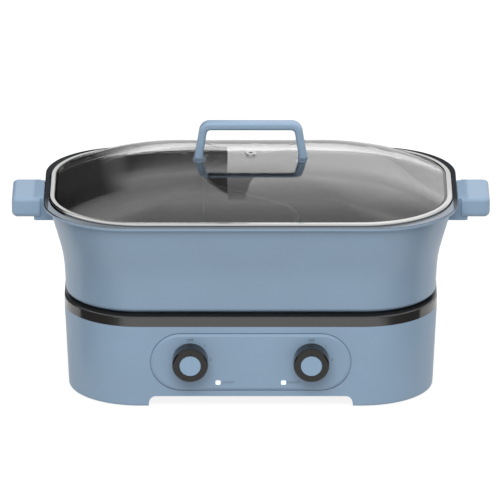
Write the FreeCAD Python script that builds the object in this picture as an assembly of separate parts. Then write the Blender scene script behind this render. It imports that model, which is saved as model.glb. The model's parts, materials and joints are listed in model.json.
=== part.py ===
import FreeCAD, Part
import math
import os

from FreeCAD import Placement, Rotation, Vector

# Electric hot pot with a divided pot and a lift-off glass lid.
# Millimetres. +Z is up, the control panel faces -Y, and the origin is on the table
# under the middle of the base. "Left" is -X, as seen by someone facing the panel.

# ---------------------------------------------------------------- clearances
running_clearance = 0.05      # radial, turning shaft in its bush
thread_clearance = 0.05       # radial, screw shank in its pilot hole
slip_clearance = 0.3          # moulded piece beside a moulded piece
screw_hole_clearance = 0.3    # radial, screw shank through a plate
socket_clearance = 0.15       # handle socket round the lug that carries it
overcut = 1.0                 # how far a cutting tool passes the face it opens

# ---------------------------------------------------------------- base housing
floor_gap = 1.2               # moulded skirt stands this far above the table
base_top_z = 85.9
base_half_length_top = 185.8
base_half_depth_top = 108.2
base_corner_radius_top = 75.0
base_end_draft = 4.0          # half length lost between the skirt's top and its foot
base_side_draft = 3.6         # half depth lost the same way
base_corner_radius_bottom = 72.0
base_wall = 2.8
base_edge_rounding = 2.4      # lower outer edge of the skirt
skirt_cutout_z = 12.0
skirt_cutout_rounding = 7.0
skirt_cutout_flare = 3.5      # wider towards the table, each side
front_cutout_half_length = 100.0
side_cutout_half_length = 38.0

# ---------------------------------------------------------------- bottom cover and feet
cover_thickness = 2.2
cover_z = 12.6                # underside of the cover
cover_boss_radius = 5.0
cover_boss_height = 22.0
cover_boss_inset = 9.0        # boss axis from the inner wall
cover_boss_end_inset = 73.8   # front and rear bosses from the housing's foot end
rib_thickness = 2.0
vent_slot_length = 42.0
vent_slot_width = 4.0
vent_slot_pitch = 9.0
vent_slots_per_side = 7

foot_end_inset = 36.8         # foot's axis from the housing's foot, lengthways
foot_side_inset = 36.6        # and across
foot_radius = 12.0
foot_pad_height = 4.0
foot_rounding = 0.8
foot_stem_radius = 3.5
foot_barb_radius = 4.4
foot_barb_height = 2.0
foot_tower_wall = 2.2
foot_recess_depth = 1.6

# ---------------------------------------------------------------- fasteners
small_screw_radius = 1.5
small_head_radius = 2.8
small_head_height = 1.8
cover_screw_length = 12.0
tray_screw_length = 5.0
recess_width = 0.9            # cross recess in a screw head
recess_depth_share = 0.6
recess_reach_share = 0.62
head_rounding_share = 0.45

# ---------------------------------------------------------------- collar and tray
collar_height = 10.5
collar_wall = 2.5
collar_top_rounding = 1.8
collar_skirt_depth = 6.0      # how far the collar reaches down inside the housing
lip_width = 6.0
lip_thickness = 2.5
tray_thickness = 1.0
tray_rise = 0.8               # tray's underside, on the collar's lip, above the housing's top
tray_screw_x = 60.0
hook_width = 12.0
hook_height = 2.0
hook_reach = 1.0
hook_root = 1.0               # hook's root inside the collar's skirt
hook_end_inset = 65.8         # hooks from the housing's ends

# ---------------------------------------------------------------- heating plates
plate_end_gap = 10.0          # plate's edge inside the end of the pot's foot
plate_middle_gap = 28.0       # between the two plates
plate_stand = 6.4             # plate's top above the tray
plate_rounding = 1.0
plate_flange = 12.0           # plate beyond its hub
hub_depth = 6.0
element_inset = 12.0          # ring's centre line inside the hub's edge
element_tube_radius = 3.5
element_clearance = 0.05      # element in its groove
element_elbow_extra = 0.3     # bend of a cold end, over the tube's radius
element_gap_angle = 40.0
element_stub_length = 10.0
terminal_width = 6.3
terminal_thickness = 0.8
terminal_length = 8.0
cutout_radius = 9.0
cutout_height = 10.0
cutout_ear_x = 15.0
cutout_ear_width = 9.0
cutout_ear_thickness = 1.5
cutout_screw_length = 4.0

# ---------------------------------------------------------------- control panel
knob_z = 51.6
knob_x = 60.0
fascia_top_margin = 7.55      # housing left above the panel
fascia_bottom_margin = 6.85   # and between it and the skirt's cut-out
fascia_end_inset = 86.8       # panel's ends inside the housing's
fascia_recess = 1.2
fascia_raise = 1.4
fascia_groove = 0.9
fascia_bevel_width = 2.4
fascia_bevel_depth = 1.2
lens_x = 32.5
lens_rise = 8.15              # lens's middle above the panel's lower edge
lens_width = 5.0
lens_height = 4.6
lens_corner_radius = 1.0
lens_raise = 0.3
lens_rounding = 0.25
lens_flange = 1.4
lens_flange_thickness = 1.0
lens_clearance = 0.12
lamp_radius = 2.0
lamp_flange_radius = 3.0
lamp_flange_thickness = 1.2
lamp_pin_radius = 0.4
lamp_pin_length = 6.0
lamp_pin_spacing = 2.54

# ---------------------------------------------------------------- rotary switches
bracket_stand_off = 5.4       # bracket plate behind the housing's inner face
bracket_thickness = 1.5
bracket_end_inset = 4.0       # bracket's ends inside the panel's
bracket_above = 18.0
bracket_cover_gap = 6.8       # bracket's lower edge above the bottom cover
bracket_corner_radius = 5.0
bracket_boss_end_inset = 7.0  # boss axes inside the bracket's ends
bracket_boss_above = 11.0
bracket_boss_edge = 9.0       # lower boss's axis above the bracket's lower edge
bracket_boss_radius = 4.0
bracket_screw_length = 5.0
bush_radius = 5.0
bush_reach = 4.6
bush_hole_clearance = 0.2
bush_housing_clearance = 1.0  # round the bush where it passes the housing
nut_thickness = 2.4
nut_across_flats = 14.0
switch_width = 34.0
switch_height = 30.0
switch_depth = 20.0
switch_rounding = 2.0
switch_tab_spacing = 16.0

# ---------------------------------------------------------------- knobs
shaft_radius = 3.0
shaft_depth_in_switch = 9.0
shaft_flat = 0.9
knob_radius = 17.7
knob_length = 17.1
knob_gap = 0.5
knob_front_rounding = 2.4
knob_skirt_wall = 2.6
knob_front_thickness = 3.0
knob_hub_radius = 6.0
knob_hub_gap = 1.5
knob_cap_radius = 10.6
knob_cap_thickness = 1.6
knob_cap_rounding = 0.5
knob_cap_clearance = 0.1
knob_pocket_depth = 1.8
knob_rib_thickness = 1.4
pointer_width = 2.0
pointer_gap = 1.2             # pointer groove starts this far outside the cap
pointer_depth = 0.8
fascia_shaft_hole_radius = 4.2

# ---------------------------------------------------------------- power inlet
inlet_drop = 5.6              # inlet's middle below the knob axes
inlet_half_width = 13.8
inlet_half_height = 10.0
inlet_corner_radius = 4.0
inlet_wall = 2.0
inlet_depth = 20.0
inlet_floor = 3.0
inlet_flange_half_width = 24.5
inlet_flange_half_height = 13.0
inlet_flange_corner = 4.0
inlet_flange_thickness = 2.6
inlet_flange_recess = 1.2
inlet_flange_rounding = 0.8
inlet_screw_x = 19.0
inlet_screw_length = 8.0
inlet_boss_radius = 4.0
inlet_boss_depth = 8.0
pin_width = 4.0
pin_thickness = 2.0
pin_reach = 15.0
pin_tail = 9.0
pin_x = 7.0
line_pin_drop = 2.0
earth_pin_rise = 2.0
inlet_ways = (3, 1, 2)        # terminal block ways that the inlet's pins lead to

# ---------------------------------------------------------------- terminal block and leads
block_half_length = 25.0
block_half_width = 8.0
block_height = 16.0
block_y = 42.0
block_ways = 5
block_pitch = 9.0
block_screw_radius = 2.0
block_screw_depth = 8.0
block_screw_sink = 1.0
block_slot_width = 0.6
block_slot_depth = 1.0
block_rounding = 1.0
block_foot_radius = 4.0
block_foot_height = 4.0
lead_radius = 1.3
lead_bend_radius = 7.0
lead_run = 21.0               # straight run before a switch lead's bend
lead_end_gap = 0.15           # lead's end from the terminal it is crimped to

# ---------------------------------------------------------------- pot
pot_foot_end_inset = 13.8     # pot's foot inside the housing's top plan, lengthways
pot_foot_side_inset = 16.8    # and across
pot_foot_corner_radius = 62.0
pot_foot_height = 5.0         # step below the outer shell, standing on the plates
pot_foot_rounding = 1.0
pot_seat_clearance = 3.0      # round the step, inside the collar
pot_shell_end_inset = 1.8     # shell's lower edge inside the housing's top plan, lengthways
pot_shell_side_inset = 4.6    # and across
pot_shell_corner_radius = 72.0
pot_bottom_rounding = 5.0
pot_wall = 3.2
pot_floor = 3.4               # above the outer shell's lower edge
pot_floor_rounding = 11.0
flare_end_reach = 21.6        # flange beyond the shell's lower edge, lengthways
flare_side_reach = 24.4       # and across
flange_corner_radius = 82.0
flange_overhang = 5.6         # flange beyond the wall just below it
flange_thickness = 3.5
flange_edge_rounding = 1.0
pot_height = 96.7             # shell's lower edge to the rim
lower_draft = 0.055           # growth of the half length per millimetre of height
flare_bend_rise = 39.9        # middle of the bend above the shell's lower edge
flare_bend_half_height = 14.0
shell_section_count = 9
rebate_width = 4.4            # flange left outside the lid's seat
rebate_depth = 3.0
seat_corner_extra = 14.4      # corners of the lid's seat are rounder than the flange's
cavity_corner_extra = 8.0     # corners of the cavity are rounder than the wall's outside

divider_drop = 10.0           # top of the divider below the rim
divider_thickness = 4.6
divider_rounding = 1.6
divider_lobe_x = 46.0
divider_lobe_y = 65.0
divider_inner_radius = 55.0
divider_outer_radius = 80.0

# ---------------------------------------------------------------- side handles
grip_gap = 4.2                # grip's inner face beyond the flange
grip_length = 28.0
grip_half_width = 31.5
grip_top_drop = 1.6           # grip's top below the rim
grip_height = 20.6
grip_plan_rounding = 6.0
grip_top_rounding = 4.0
grip_bottom_rounding = 6.0
neck_half_width = 27.5
neck_drop = 4.3               # neck's underside below the grip's
neck_top_drop = 1.5           # neck's top below the rim
neck_rounding = 2.5
neck_root_depth = 12.0        # how far the neck block starts inside the shell before trimming
lug_half_width = 19.0
lug_drop = 8.8                # lug's top below the rim
lug_thickness = 7.0
lug_reach = 16.5              # lug beyond the flange
lug_rounding = 2.0
handle_screw_y = 11.0
handle_screw_inset = 6.0      # screw axis from the lug's end
handle_screw_radius = 2.0
handle_head_radius = 3.8
handle_head_height = 2.6
handle_head_sink = 0.4        # head inside the grip's underside
handle_screw_grip = 6.0       # shank inside the lug

# ---------------------------------------------------------------- lid
lid_edge_clearance = 0.7      # lid ring inside the pot's rebate
ring_width = 5.0
ring_sheet = 0.6
ring_rounding = 1.6
glass_thickness = 4.5
glass_edge_clearance = 0.1
dome_inset = 0.5              # dome starts this far inside the ring
dome_rise = 30.0
dome_exponent = 3.2           # higher is flatter on top and steeper at the ring
dome_section_count = 9
dome_top_share = 0.1          # size of the last section against the first

lid_handle_rise = 36.7        # handle's top above the dome's
lid_handle_half_top = 50.0
lid_handle_half_foot = 55.8
lid_handle_bar = 8.0
lid_handle_depth = 14.0
lid_handle_corner_radius = 11.0
lid_handle_inner_radius = 4.0
lid_handle_edge_rounding = 3.0
lid_screw_inset = 4.6         # screw axis inside the foot's outer side
lid_screw_radius = 2.0
lid_screw_grip = 9.0
lid_head_radius = 5.0
lid_head_height = 2.6
washer_thickness = 1.4
washer_radius = 6.5
upper_washer_half_x = 4.6
upper_washer_half_y = 7.4
upper_washer_corner = 3.0

vent_y = 9.0
vent_bore_radius = 2.0
vent_tube_radius = 3.2
vent_flange_radius = 5.6
vent_flange_thickness = 0.9
vent_rounding = 0.5
vent_glass_gap = 0.05

# ---------------------------------------------------------------- worked-out sizes
base_half_length_bottom = base_half_length_top - base_end_draft
base_half_depth_bottom = base_half_depth_top - base_side_draft
housing_bottom_z = floor_gap
collar_top_z = base_top_z + collar_height
hook_x = base_half_length_top - hook_end_inset
cover_top_z = cover_z + cover_thickness
cover_boss_x = base_half_length_bottom - cover_boss_end_inset
foot_x = base_half_length_bottom - foot_end_inset
foot_y = base_half_depth_bottom - foot_side_inset
pot_foot_half_length = base_half_length_top - pot_foot_end_inset
pot_foot_half_depth = base_half_depth_top - pot_foot_side_inset
pot_shell_half_length = base_half_length_top - pot_shell_end_inset
pot_shell_half_depth = base_half_depth_top - pot_shell_side_inset
flange_half_length = pot_shell_half_length + flare_end_reach
flange_half_depth = pot_shell_half_depth + flare_side_reach
tray_z = base_top_z + tray_rise
plate_radius = (pot_foot_half_length - plate_end_gap) / 2 - plate_middle_gap / 4
plate_centre_x = plate_middle_gap / 2 + plate_radius
plate_top_z = tray_z + tray_thickness + plate_stand
hub_radius = plate_radius - plate_flange
hub_bottom_z = tray_z + tray_thickness - hub_depth
element_ring_radius = hub_radius - element_inset
pot_edge_z = plate_top_z + pot_foot_height
pot_floor_z = pot_edge_z + pot_floor
flare_bend_z = pot_edge_z + flare_bend_rise
rim_z = pot_edge_z + pot_height
flange_bottom_z = rim_z - flange_thickness
ledge_z = rim_z - rebate_depth
grip_inner_x = flange_half_length + grip_gap
grip_outer_x = grip_inner_x + grip_length
grip_top_z = rim_z - grip_top_drop
grip_bottom_z = grip_top_z - grip_height
neck_bottom_z = grip_bottom_z - neck_drop
lug_top_z = rim_z - lug_drop
lug_bottom_z = lug_top_z - lug_thickness
ring_height = glass_thickness + 2 * ring_sheet
glass_edge_bottom_z = ledge_z + ring_sheet
glass_edge_top_z = glass_edge_bottom_z + glass_thickness
dome_top_z = glass_edge_top_z + dome_rise
handle_top_z = dome_top_z + lid_handle_rise
fascia_half_length = base_half_length_top - fascia_end_inset
fascia_top_z = base_top_z - fascia_top_margin
fascia_bottom_z = skirt_cutout_z + fascia_bottom_margin
fascia_height = fascia_top_z - fascia_bottom_z
fascia_drop = knob_z - (fascia_top_z + fascia_bottom_z) / 2
lens_drop = knob_z - fascia_bottom_z - lens_rise
bracket_half_length = fascia_half_length - bracket_end_inset
bracket_boss_x = bracket_half_length - bracket_boss_end_inset
bracket_below = knob_z - cover_top_z - bracket_cover_gap
bracket_boss_below = bracket_below - bracket_boss_edge
inlet_z = knob_z - inlet_drop
face_angle = math.degrees(math.atan2(
    base_half_depth_top - base_half_depth_bottom, base_top_z - housing_bottom_z))


# ---------------------------------------------------------------- shape helpers
def inset(plan, distance):
    """A rounded-rectangle plan (half x, half y, corner radius) moved inwards."""
    return tuple(size - distance for size in plan)


def rounder(plan, extra):
    """The same plan with a larger corner radius."""
    return plan[0], plan[1], plan[2] + extra


def between(low, high, share):
    """Plan part of the way from one plan to another."""
    return tuple(a + (b - a) * share for a, b in zip(low, high))


def plan_wire(plan, z):
    """Closed rounded-rectangle wire at height z."""
    half_x, half_y, radius = plan
    corners = []
    for quarter, (side_x, side_y) in enumerate(((1, -1), (1, 1), (-1, 1), (-1, -1))):
        centre = Vector(side_x * (half_x - radius), side_y * (half_y - radius), z)
        angles = [math.radians(90 * quarter - 90 + turn) for turn in (0, 45, 90)]
        corners.append([centre + Vector(math.cos(a), math.sin(a), 0) * radius for a in angles])
    edges = []
    for corner, following in zip(corners, corners[1:] + corners[:1]):
        edges.append(Part.Arc(*corner).toShape())
        if corner[2].distanceToPoint(following[0]) > 1e-6:
            edges.append(Part.LineSegment(corner[2], following[0]).toShape())
    return Part.Wire(edges)


def slab(plan, z0, z1):
    """Upright rounded-rectangle prism."""
    return Part.Face(plan_wire(plan, z0)).extrude(Vector(0, 0, z1 - z0))


def front_slab(plan, y0, y1, x=0.0, z=0.0):
    """The same prism lying along Y, centred on (x, z)."""
    prism = slab(plan, 0.0, y1 - y0)
    prism.Placement = Placement(Vector(x, y1, z), Rotation(Vector(1, 0, 0), 90))
    return prism


def loft(sections, ruled):
    """Solid through (plan, z) sections."""
    return Part.makeLoft([plan_wire(plan, z) for plan, z in sections], True, ruled)


def box(x0, x1, y0, y1, z0, z1):
    return Part.makeBox(x1 - x0, y1 - y0, z1 - z0, Vector(x0, y0, z0))


def rod_z(x, y, z0, z1, radius):
    return Part.makeCylinder(radius, z1 - z0, Vector(x, y, z0), Vector(0, 0, 1))


def rod_y(x, z, y0, y1, radius):
    return Part.makeCylinder(radius, y1 - y0, Vector(x, y0, z), Vector(0, 1, 0))


def fuse(*shapes):
    return shapes[0].multiFuse(list(shapes[1:])).removeSplitter()


def cut(shape, *tools):
    return shape.cut(list(tools))


def rounded_path(points, radii, closed):
    """Wire of straight runs joined by tangent arcs, with one radius per corner."""
    count = len(points)
    corners = range(count) if closed else range(1, count - 1)
    starts = {}
    ends = {}
    arcs = {}
    for i in corners:
        into = (points[i] - points[i - 1]).normalize()
        out = (points[(i + 1) % count] - points[i]).normalize()
        half_turn = into.getAngle(out) / 2
        reach = radii[i] * math.tan(half_turn)
        starts[i] = points[i] - into * reach
        ends[i] = points[i] + out * reach
        if radii[i] > 0:
            towards_centre = (out - into).normalize()
            centre = points[i] + towards_centre * (radii[i] / math.cos(half_turn))
            middle = centre - towards_centre * radii[i]
            arcs[i] = Part.Arc(starts[i], middle, ends[i]).toShape()
    edges = []
    for i in range(count if closed else count - 1):
        following = (i + 1) % count
        run_start = ends.get(i, points[i])
        run_end = starts.get(following, points[following])
        if i in arcs:
            edges.append(arcs[i])
        edges.append(Part.LineSegment(run_start, run_end).toShape())
    return Part.Wire(edges)


def round_edges(shape, radius, wanted):
    """Fillets the edges whose bounding box passes the test."""
    edges = [edge for edge in shape.Edges if wanted(edge.BoundBox)]
    return shape.makeFillet(radius, edges)


def at_height(z):
    """Test for edges that lie level at height z."""
    return lambda bounds: abs(bounds.ZMin - z) < 0.01 and abs(bounds.ZMax - z) < 0.01


def at_depth(y):
    """Test for edges that lie in the plane at y."""
    return lambda bounds: abs(bounds.YMin - y) < 0.01 and abs(bounds.YMax - y) < 0.01


def turned(shape, angle):
    """A copy turned about the vertical axis through the origin."""
    copy = shape.copy()
    copy.rotate(Vector(0, 0, 0), Vector(0, 0, 1), angle)
    return copy


def turned_half(shape):
    """The same piece at the other end."""
    return turned(shape, 180)


def moved(shape, x, y, z):
    copy = shape.copy()
    copy.translate(Vector(x, y, z))
    return copy


def mirrored_pairs(x, y):
    """The four points (+-x, +-y)."""
    return [(side_x * x, side_y * y) for side_x in (-1, 1) for side_y in (-1, 1)]


def group(shapes):
    return Part.makeCompound(list(shapes))


def pan_screw(head_radius, head_height, shank_radius, length):
    """Cross-recessed pan-head screw along +Z: head below z = 0, shank above it."""
    head = Part.makeCylinder(head_radius, head_height, Vector(0, 0, -head_height))
    head = round_edges(head, head_height * head_rounding_share, at_height(-head_height))
    reach = head_radius * recess_reach_share
    depth = head_height * recess_depth_share
    arms = [
        box(-reach, reach, -recess_width / 2, recess_width / 2, -head_height, depth - head_height),
        box(-recess_width / 2, recess_width / 2, -reach, reach, -head_height, depth - head_height),
    ]
    shank = Part.makeCylinder(shank_radius, length)
    return fuse(cut(head, *arms), shank)


def small_screw(length):
    return pan_screw(small_head_radius, small_head_height, small_screw_radius, length)


def flipped(screw):
    """A screw driven downwards: head above z = 0."""
    copy = screw.copy()
    copy.rotate(Vector(0, 0, 0), Vector(1, 0, 0), 180)
    return copy


def driven_inwards(screw):
    """A screw driven along +Y in a face's own frame."""
    copy = screw.copy()
    copy.rotate(Vector(0, 0, 0), Vector(1, 0, 0), -90)
    return copy


def driven_outwards(screw):
    """A screw driven along -Y in a face's own frame."""
    return turned_half(driven_inwards(screw))


def lead(points):
    """One insulated wire: a round tube along straight runs and tangent arcs."""
    spine = rounded_path(points, [lead_bend_radius] * len(points), False)
    direction = points[1] - points[0]
    section = Part.Wire([Part.makeCircle(lead_radius, points[0], direction)])
    return spine.makePipeShell([section], True, True)


# ---------------------------------------------------------------- plans
housing_top_plan = (base_half_length_top, base_half_depth_top, base_corner_radius_top)
housing_bottom_plan = (base_half_length_bottom, base_half_depth_bottom, base_corner_radius_bottom)
pot_foot_plan = (pot_foot_half_length, pot_foot_half_depth, pot_foot_corner_radius)
collar_inner_plan = inset(pot_foot_plan, -pot_seat_clearance)
flange_plan = (flange_half_length, flange_half_depth, flange_corner_radius)
shell_low_plan = (pot_shell_half_length, pot_shell_half_depth, pot_shell_corner_radius)
shell_high_plan = inset(flange_plan, flange_overhang)
lid_seat_plan = rounder(inset(flange_plan, rebate_width), seat_corner_extra)
ring_plan = inset(lid_seat_plan, lid_edge_clearance)
dome_plan = inset(ring_plan, ring_width + dome_inset)


def housing_plan(z, distance=0.0):
    """Outer plan of the housing at height z, moved inwards by a distance."""
    share = (z - housing_bottom_z) / (base_top_z - housing_bottom_z)
    return inset(between(housing_bottom_plan, housing_top_plan, share), distance)


def face_y(z):
    """Half depth of the housing at height z."""
    return housing_plan(z)[1]


def on_front(shape):
    """Places a shape made in the control panel's own frame: x across, +y inwards, z up from the knob axes."""
    placed = shape.copy()
    tilt = Placement(Vector(0, -face_y(knob_z), knob_z), Rotation(Vector(1, 0, 0), face_angle))
    placed.Placement = tilt.multiply(placed.Placement)
    return placed


def on_back(shape):
    """Places a shape made in the power inlet's own frame on the rear wall."""
    placed = shape.copy()
    tilt = Placement(Vector(0, -face_y(inlet_z), inlet_z), Rotation(Vector(1, 0, 0), face_angle))
    turn = Placement(Vector(0, 0, 0), Rotation(Vector(0, 0, 1), 180))
    placed.Placement = turn.multiply(tilt.multiply(placed.Placement))
    return placed


# ---------------------------------------------------------------- base housing
bracket_y0 = base_wall + bracket_stand_off
bracket_y1 = bracket_y0 + bracket_thickness
fascia_plan = (fascia_half_length, fascia_height / 2, fascia_height / 2)


def cover_boss_points():
    inner = housing_plan(cover_top_z, base_wall)
    side_x = inner[0] - cover_boss_inset
    side_y = inner[1] - cover_boss_inset
    return mirrored_pairs(cover_boss_x, side_y) + [(-side_x, 0.0), (side_x, 0.0)]


def bracket_boss_points():
    return [(side * bracket_boss_x, z) for side in (-1, 1) for z in (bracket_boss_above, -bracket_boss_below)]


def skirt_cutout(half_length):
    """Trapezoid opening under the skirt, as a prism along Y through both walls."""
    points = [
        Vector(-half_length - skirt_cutout_flare, 0, -skirt_cutout_z),
        Vector(-half_length, 0, skirt_cutout_z),
        Vector(half_length, 0, skirt_cutout_z),
        Vector(half_length + skirt_cutout_flare, 0, -skirt_cutout_z),
    ]
    radii = [0.0, skirt_cutout_rounding, skirt_cutout_rounding, 0.0]
    face = Part.Face(rounded_path(points, radii, True))
    reach = base_half_length_top + base_wall
    face.translate(Vector(0, -reach, 0))
    return face.extrude(Vector(0, 2 * reach, 0))


def housing_loft(distance):
    """Solid that fills the housing's outer form, moved inwards by a distance."""
    return loft([(housing_plan(housing_bottom_z, distance), housing_bottom_z),
                 (housing_plan(base_top_z, distance), base_top_z)], True)


def cover_columns():
    """Columns for the bottom cover's screws, each tied to the wall by a rib, and their pilot holes."""
    top = cover_top_z + cover_boss_height
    half = rib_thickness / 2
    reach = cover_boss_inset + base_wall
    columns = []
    pilots = []
    for x, y in cover_boss_points():
        end_x = x + math.copysign(reach, x) if y == 0 else x
        end_y = y + math.copysign(reach, y) if y != 0 else y
        columns.append(rod_z(x, y, cover_top_z, top, cover_boss_radius))
        columns.append(box(min(x, end_x) - half, max(x, end_x) + half,
                           min(y, end_y) - half, max(y, end_y) + half, cover_top_z, top))
        pilots.append(rod_z(x, y, cover_top_z, cover_top_z + cover_screw_length,
                            small_screw_radius + thread_clearance))
    return columns, pilots


def face_bosses():
    """Bosses for the switch bracket and the power inlet, square to their faces, and their pilot holes."""
    radius = small_screw_radius + thread_clearance
    bosses = []
    pilots = []
    for x, z in bracket_boss_points():
        bosses.append(on_front(rod_y(x, z, 0, bracket_y0, bracket_boss_radius)))
        pilots.append(on_front(rod_y(x, z, base_wall, bracket_y0, radius)))
    for side in (-1, 1):
        bosses.append(on_back(rod_y(side * inlet_screw_x, 0, 0, inlet_boss_depth, inlet_boss_radius)))
        pilots.append(on_back(rod_y(side * inlet_screw_x, 0, 0, inlet_pilot_depth, radius)))
    return bosses, pilots


def housing_openings():
    """Skirt cut-outs, panel recess, shaft and lens holes, power inlet and hook pockets."""
    openings = [
        skirt_cutout(front_cutout_half_length),
        turned(skirt_cutout(side_cutout_half_length), 90),
        on_front(front_slab(inset(fascia_plan, -fascia_groove), -base_wall, fascia_recess, 0, -fascia_drop)),
        on_back(front_slab(inset(inlet_flange_plan, -slip_clearance), -base_wall, inlet_flange_recess)),
        on_back(front_slab(inset(inlet_plan, -slip_clearance), -base_wall, inlet_boss_depth)),
    ]
    for side in (-1, 1):
        bush_opening = rod_y(side * knob_x, 0, 0, 2 * base_wall, bush_radius + bush_housing_clearance)
        openings.append(on_front(bush_opening))
        openings.append(on_front(lens_prism(side * lens_x, 0, 2 * base_wall, lens_clearance)))
    return openings + hook_boxes(slip_clearance)


def base_housing():
    outer = round_edges(housing_loft(0.0), base_edge_rounding, at_height(housing_bottom_z))
    inner = housing_loft(base_wall)
    columns, column_pilots = cover_columns()
    bosses, boss_pilots = face_bosses()
    inside = fuse(*columns, *bosses).common(inner)
    shell = fuse(outer.cut(inner), inside)
    return cut(shell, *housing_openings(), *column_pilots, *boss_pilots)


# ---------------------------------------------------------------- collar
def hook_boxes(extra):
    """Snap hooks on the collar's skirt, or with extra room the pockets for them."""
    z1 = base_top_z - collar_skirt_depth + hook_height + extra
    z0 = base_top_z - collar_skirt_depth - extra
    plan = housing_plan(base_top_z - collar_skirt_depth, base_wall)
    shapes = []
    for side in (-1, 1):
        for x in (-hook_x, hook_x):
            near = side * (plan[1] - slip_clearance - hook_root)
            far = side * (plan[1] - slip_clearance + hook_reach + extra)
            x0 = x - hook_width / 2 - extra
            x1 = x + hook_width / 2 + extra
            shapes.append(box(x0, x1, min(near, far), max(near, far), z0, z1))
    return shapes


def top_collar():
    outer = slab(housing_top_plan, base_top_z, collar_top_z)
    outer = round_edges(outer, collar_top_rounding, at_height(collar_top_z))
    channel_outer = inset(housing_top_plan, collar_wall)
    channel_inner = inset(collar_inner_plan, -collar_wall)
    channel = slab(channel_outer, base_top_z, collar_top_z - collar_wall)
    channel = channel.cut(slab(channel_inner, base_top_z, collar_top_z - collar_wall))
    skirt_z = base_top_z - collar_skirt_depth
    skirt_plan = housing_plan(skirt_z, base_wall + slip_clearance)
    skirt = slab(skirt_plan, skirt_z, base_top_z)
    skirt = skirt.cut(slab(inset(skirt_plan, collar_wall), skirt_z, base_top_z))
    bridge = slab(skirt_plan, base_top_z - collar_wall, base_top_z)
    bridge = bridge.cut(slab(collar_inner_plan, base_top_z - collar_wall, base_top_z))
    lip = slab(inset(collar_inner_plan, -collar_wall), tray_z - lip_thickness, tray_z)
    well = slab(collar_inner_plan, tray_z, collar_top_z)
    mouth = slab(inset(collar_inner_plan, lip_width), tray_z - lip_thickness, tray_z)
    body = fuse(outer.cut(channel), skirt, bridge, lip, *hook_boxes(0.0))
    pilots = [rod_z(x, y, tray_z - lip_thickness, tray_z, small_screw_radius + thread_clearance)
              for x, y in tray_screw_points()]
    return cut(body, well, mouth, *pilots)


# ---------------------------------------------------------------- bottom cover and feet
foot_tower_radius = foot_radius + slip_clearance + foot_tower_wall
foot_tower_z = foot_pad_height - foot_recess_depth


def vent_slots(z0, z1):
    plan = (vent_slot_width / 2, vent_slot_length / 2, vent_slot_width / 2)
    slots = []
    for side in (-1, 1):
        for i in range(vent_slots_per_side):
            x = side * plate_centre_x + (i - (vent_slots_per_side - 1) / 2) * vent_slot_pitch
            slots.append(moved(slab(plan, z0, z1), x, 0, 0))
    return slots


def bottom_cover():
    plate = slab(housing_plan(cover_z, base_wall + slip_clearance), cover_z, cover_top_z)
    towers = []
    holes = []
    for x, y in mirrored_pairs(foot_x, foot_y):
        towers.append(rod_z(x, y, foot_tower_z, cover_z, foot_tower_radius))
        holes.append(rod_z(x, y, foot_tower_z, foot_pad_height, foot_radius + slip_clearance))
        holes.append(rod_z(x, y, foot_pad_height, cover_top_z, foot_stem_radius + screw_hole_clearance))
    for x, y in cover_boss_points():
        holes.append(rod_z(x, y, cover_z, cover_top_z, small_screw_radius + screw_hole_clearance))
    for side in (-1, 1):
        holes.append(rod_z(side * block_foot_x, block_y, cover_z, cover_top_z,
                           small_screw_radius + thread_clearance))
    return cut(fuse(plate, *towers), *holes, *vent_slots(cover_z, cover_top_z))


def rubber_foot(x, y):
    pad = rod_z(x, y, 0, foot_pad_height, foot_radius)
    pad = round_edges(pad, foot_rounding, at_height(0))
    stem = rod_z(x, y, foot_pad_height, cover_top_z + slip_clearance, foot_stem_radius)
    barb = rod_z(x, y, cover_top_z, cover_top_z + foot_barb_height, foot_barb_radius)
    return fuse(pad, stem, barb)


def bottom_cover_screws():
    screw = small_screw(cover_screw_length + cover_thickness - slip_clearance)
    return group(moved(screw, x, y, cover_z) for x, y in cover_boss_points())


# ---------------------------------------------------------------- tray and heating plates
def tray_screw_points():
    middle = inset(collar_inner_plan, lip_width / 2)
    return mirrored_pairs(tray_screw_x, middle[1]) + [(-middle[0], 0.0), (middle[0], 0.0)]


def heat_shield_tray():
    top = tray_z + tray_thickness
    plate = slab(inset(collar_inner_plan, slip_clearance), tray_z, top)
    holes = [rod_z(side * plate_centre_x, 0, tray_z, top, hub_radius + slip_clearance) for side in (-1, 1)]
    for x, y in tray_screw_points():
        holes.append(rod_z(x, y, tray_z, top, small_screw_radius + screw_hole_clearance))
    return cut(plate, *holes)


def tray_screws():
    screw = flipped(small_screw(tray_screw_length))
    return group(moved(screw, x, y, tray_z + tray_thickness) for x, y in tray_screw_points())


def heating_plate():
    """Cast plate about the origin's axis, before it is moved to its side."""
    rim = rod_z(0, 0, tray_z + tray_thickness, plate_top_z, plate_radius)
    rim = round_edges(rim, plate_rounding, at_height(plate_top_z))
    hub = rod_z(0, 0, hub_bottom_z, tray_z + tray_thickness, hub_radius)
    groove = Part.makeTorus(element_ring_radius, element_tube_radius + element_clearance,
                            Vector(0, 0, hub_bottom_z))
    elbow_pockets = [element_elbow(side, element_clearance) for side in (-1, 1)]
    holes = [rod_z(side * cutout_ear_x, 0, hub_bottom_z, hub_bottom_z + cutout_screw_length,
                   small_screw_radius + thread_clearance) for side in (-1, 1)]
    return cut(fuse(rim, hub), groove, *elbow_pockets, *holes)


def terminal_tab(x, y, z1):
    return box(x - terminal_thickness / 2, x + terminal_thickness / 2,
               y - terminal_width / 2, y + terminal_width / 2, z1 - terminal_length, z1)


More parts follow.
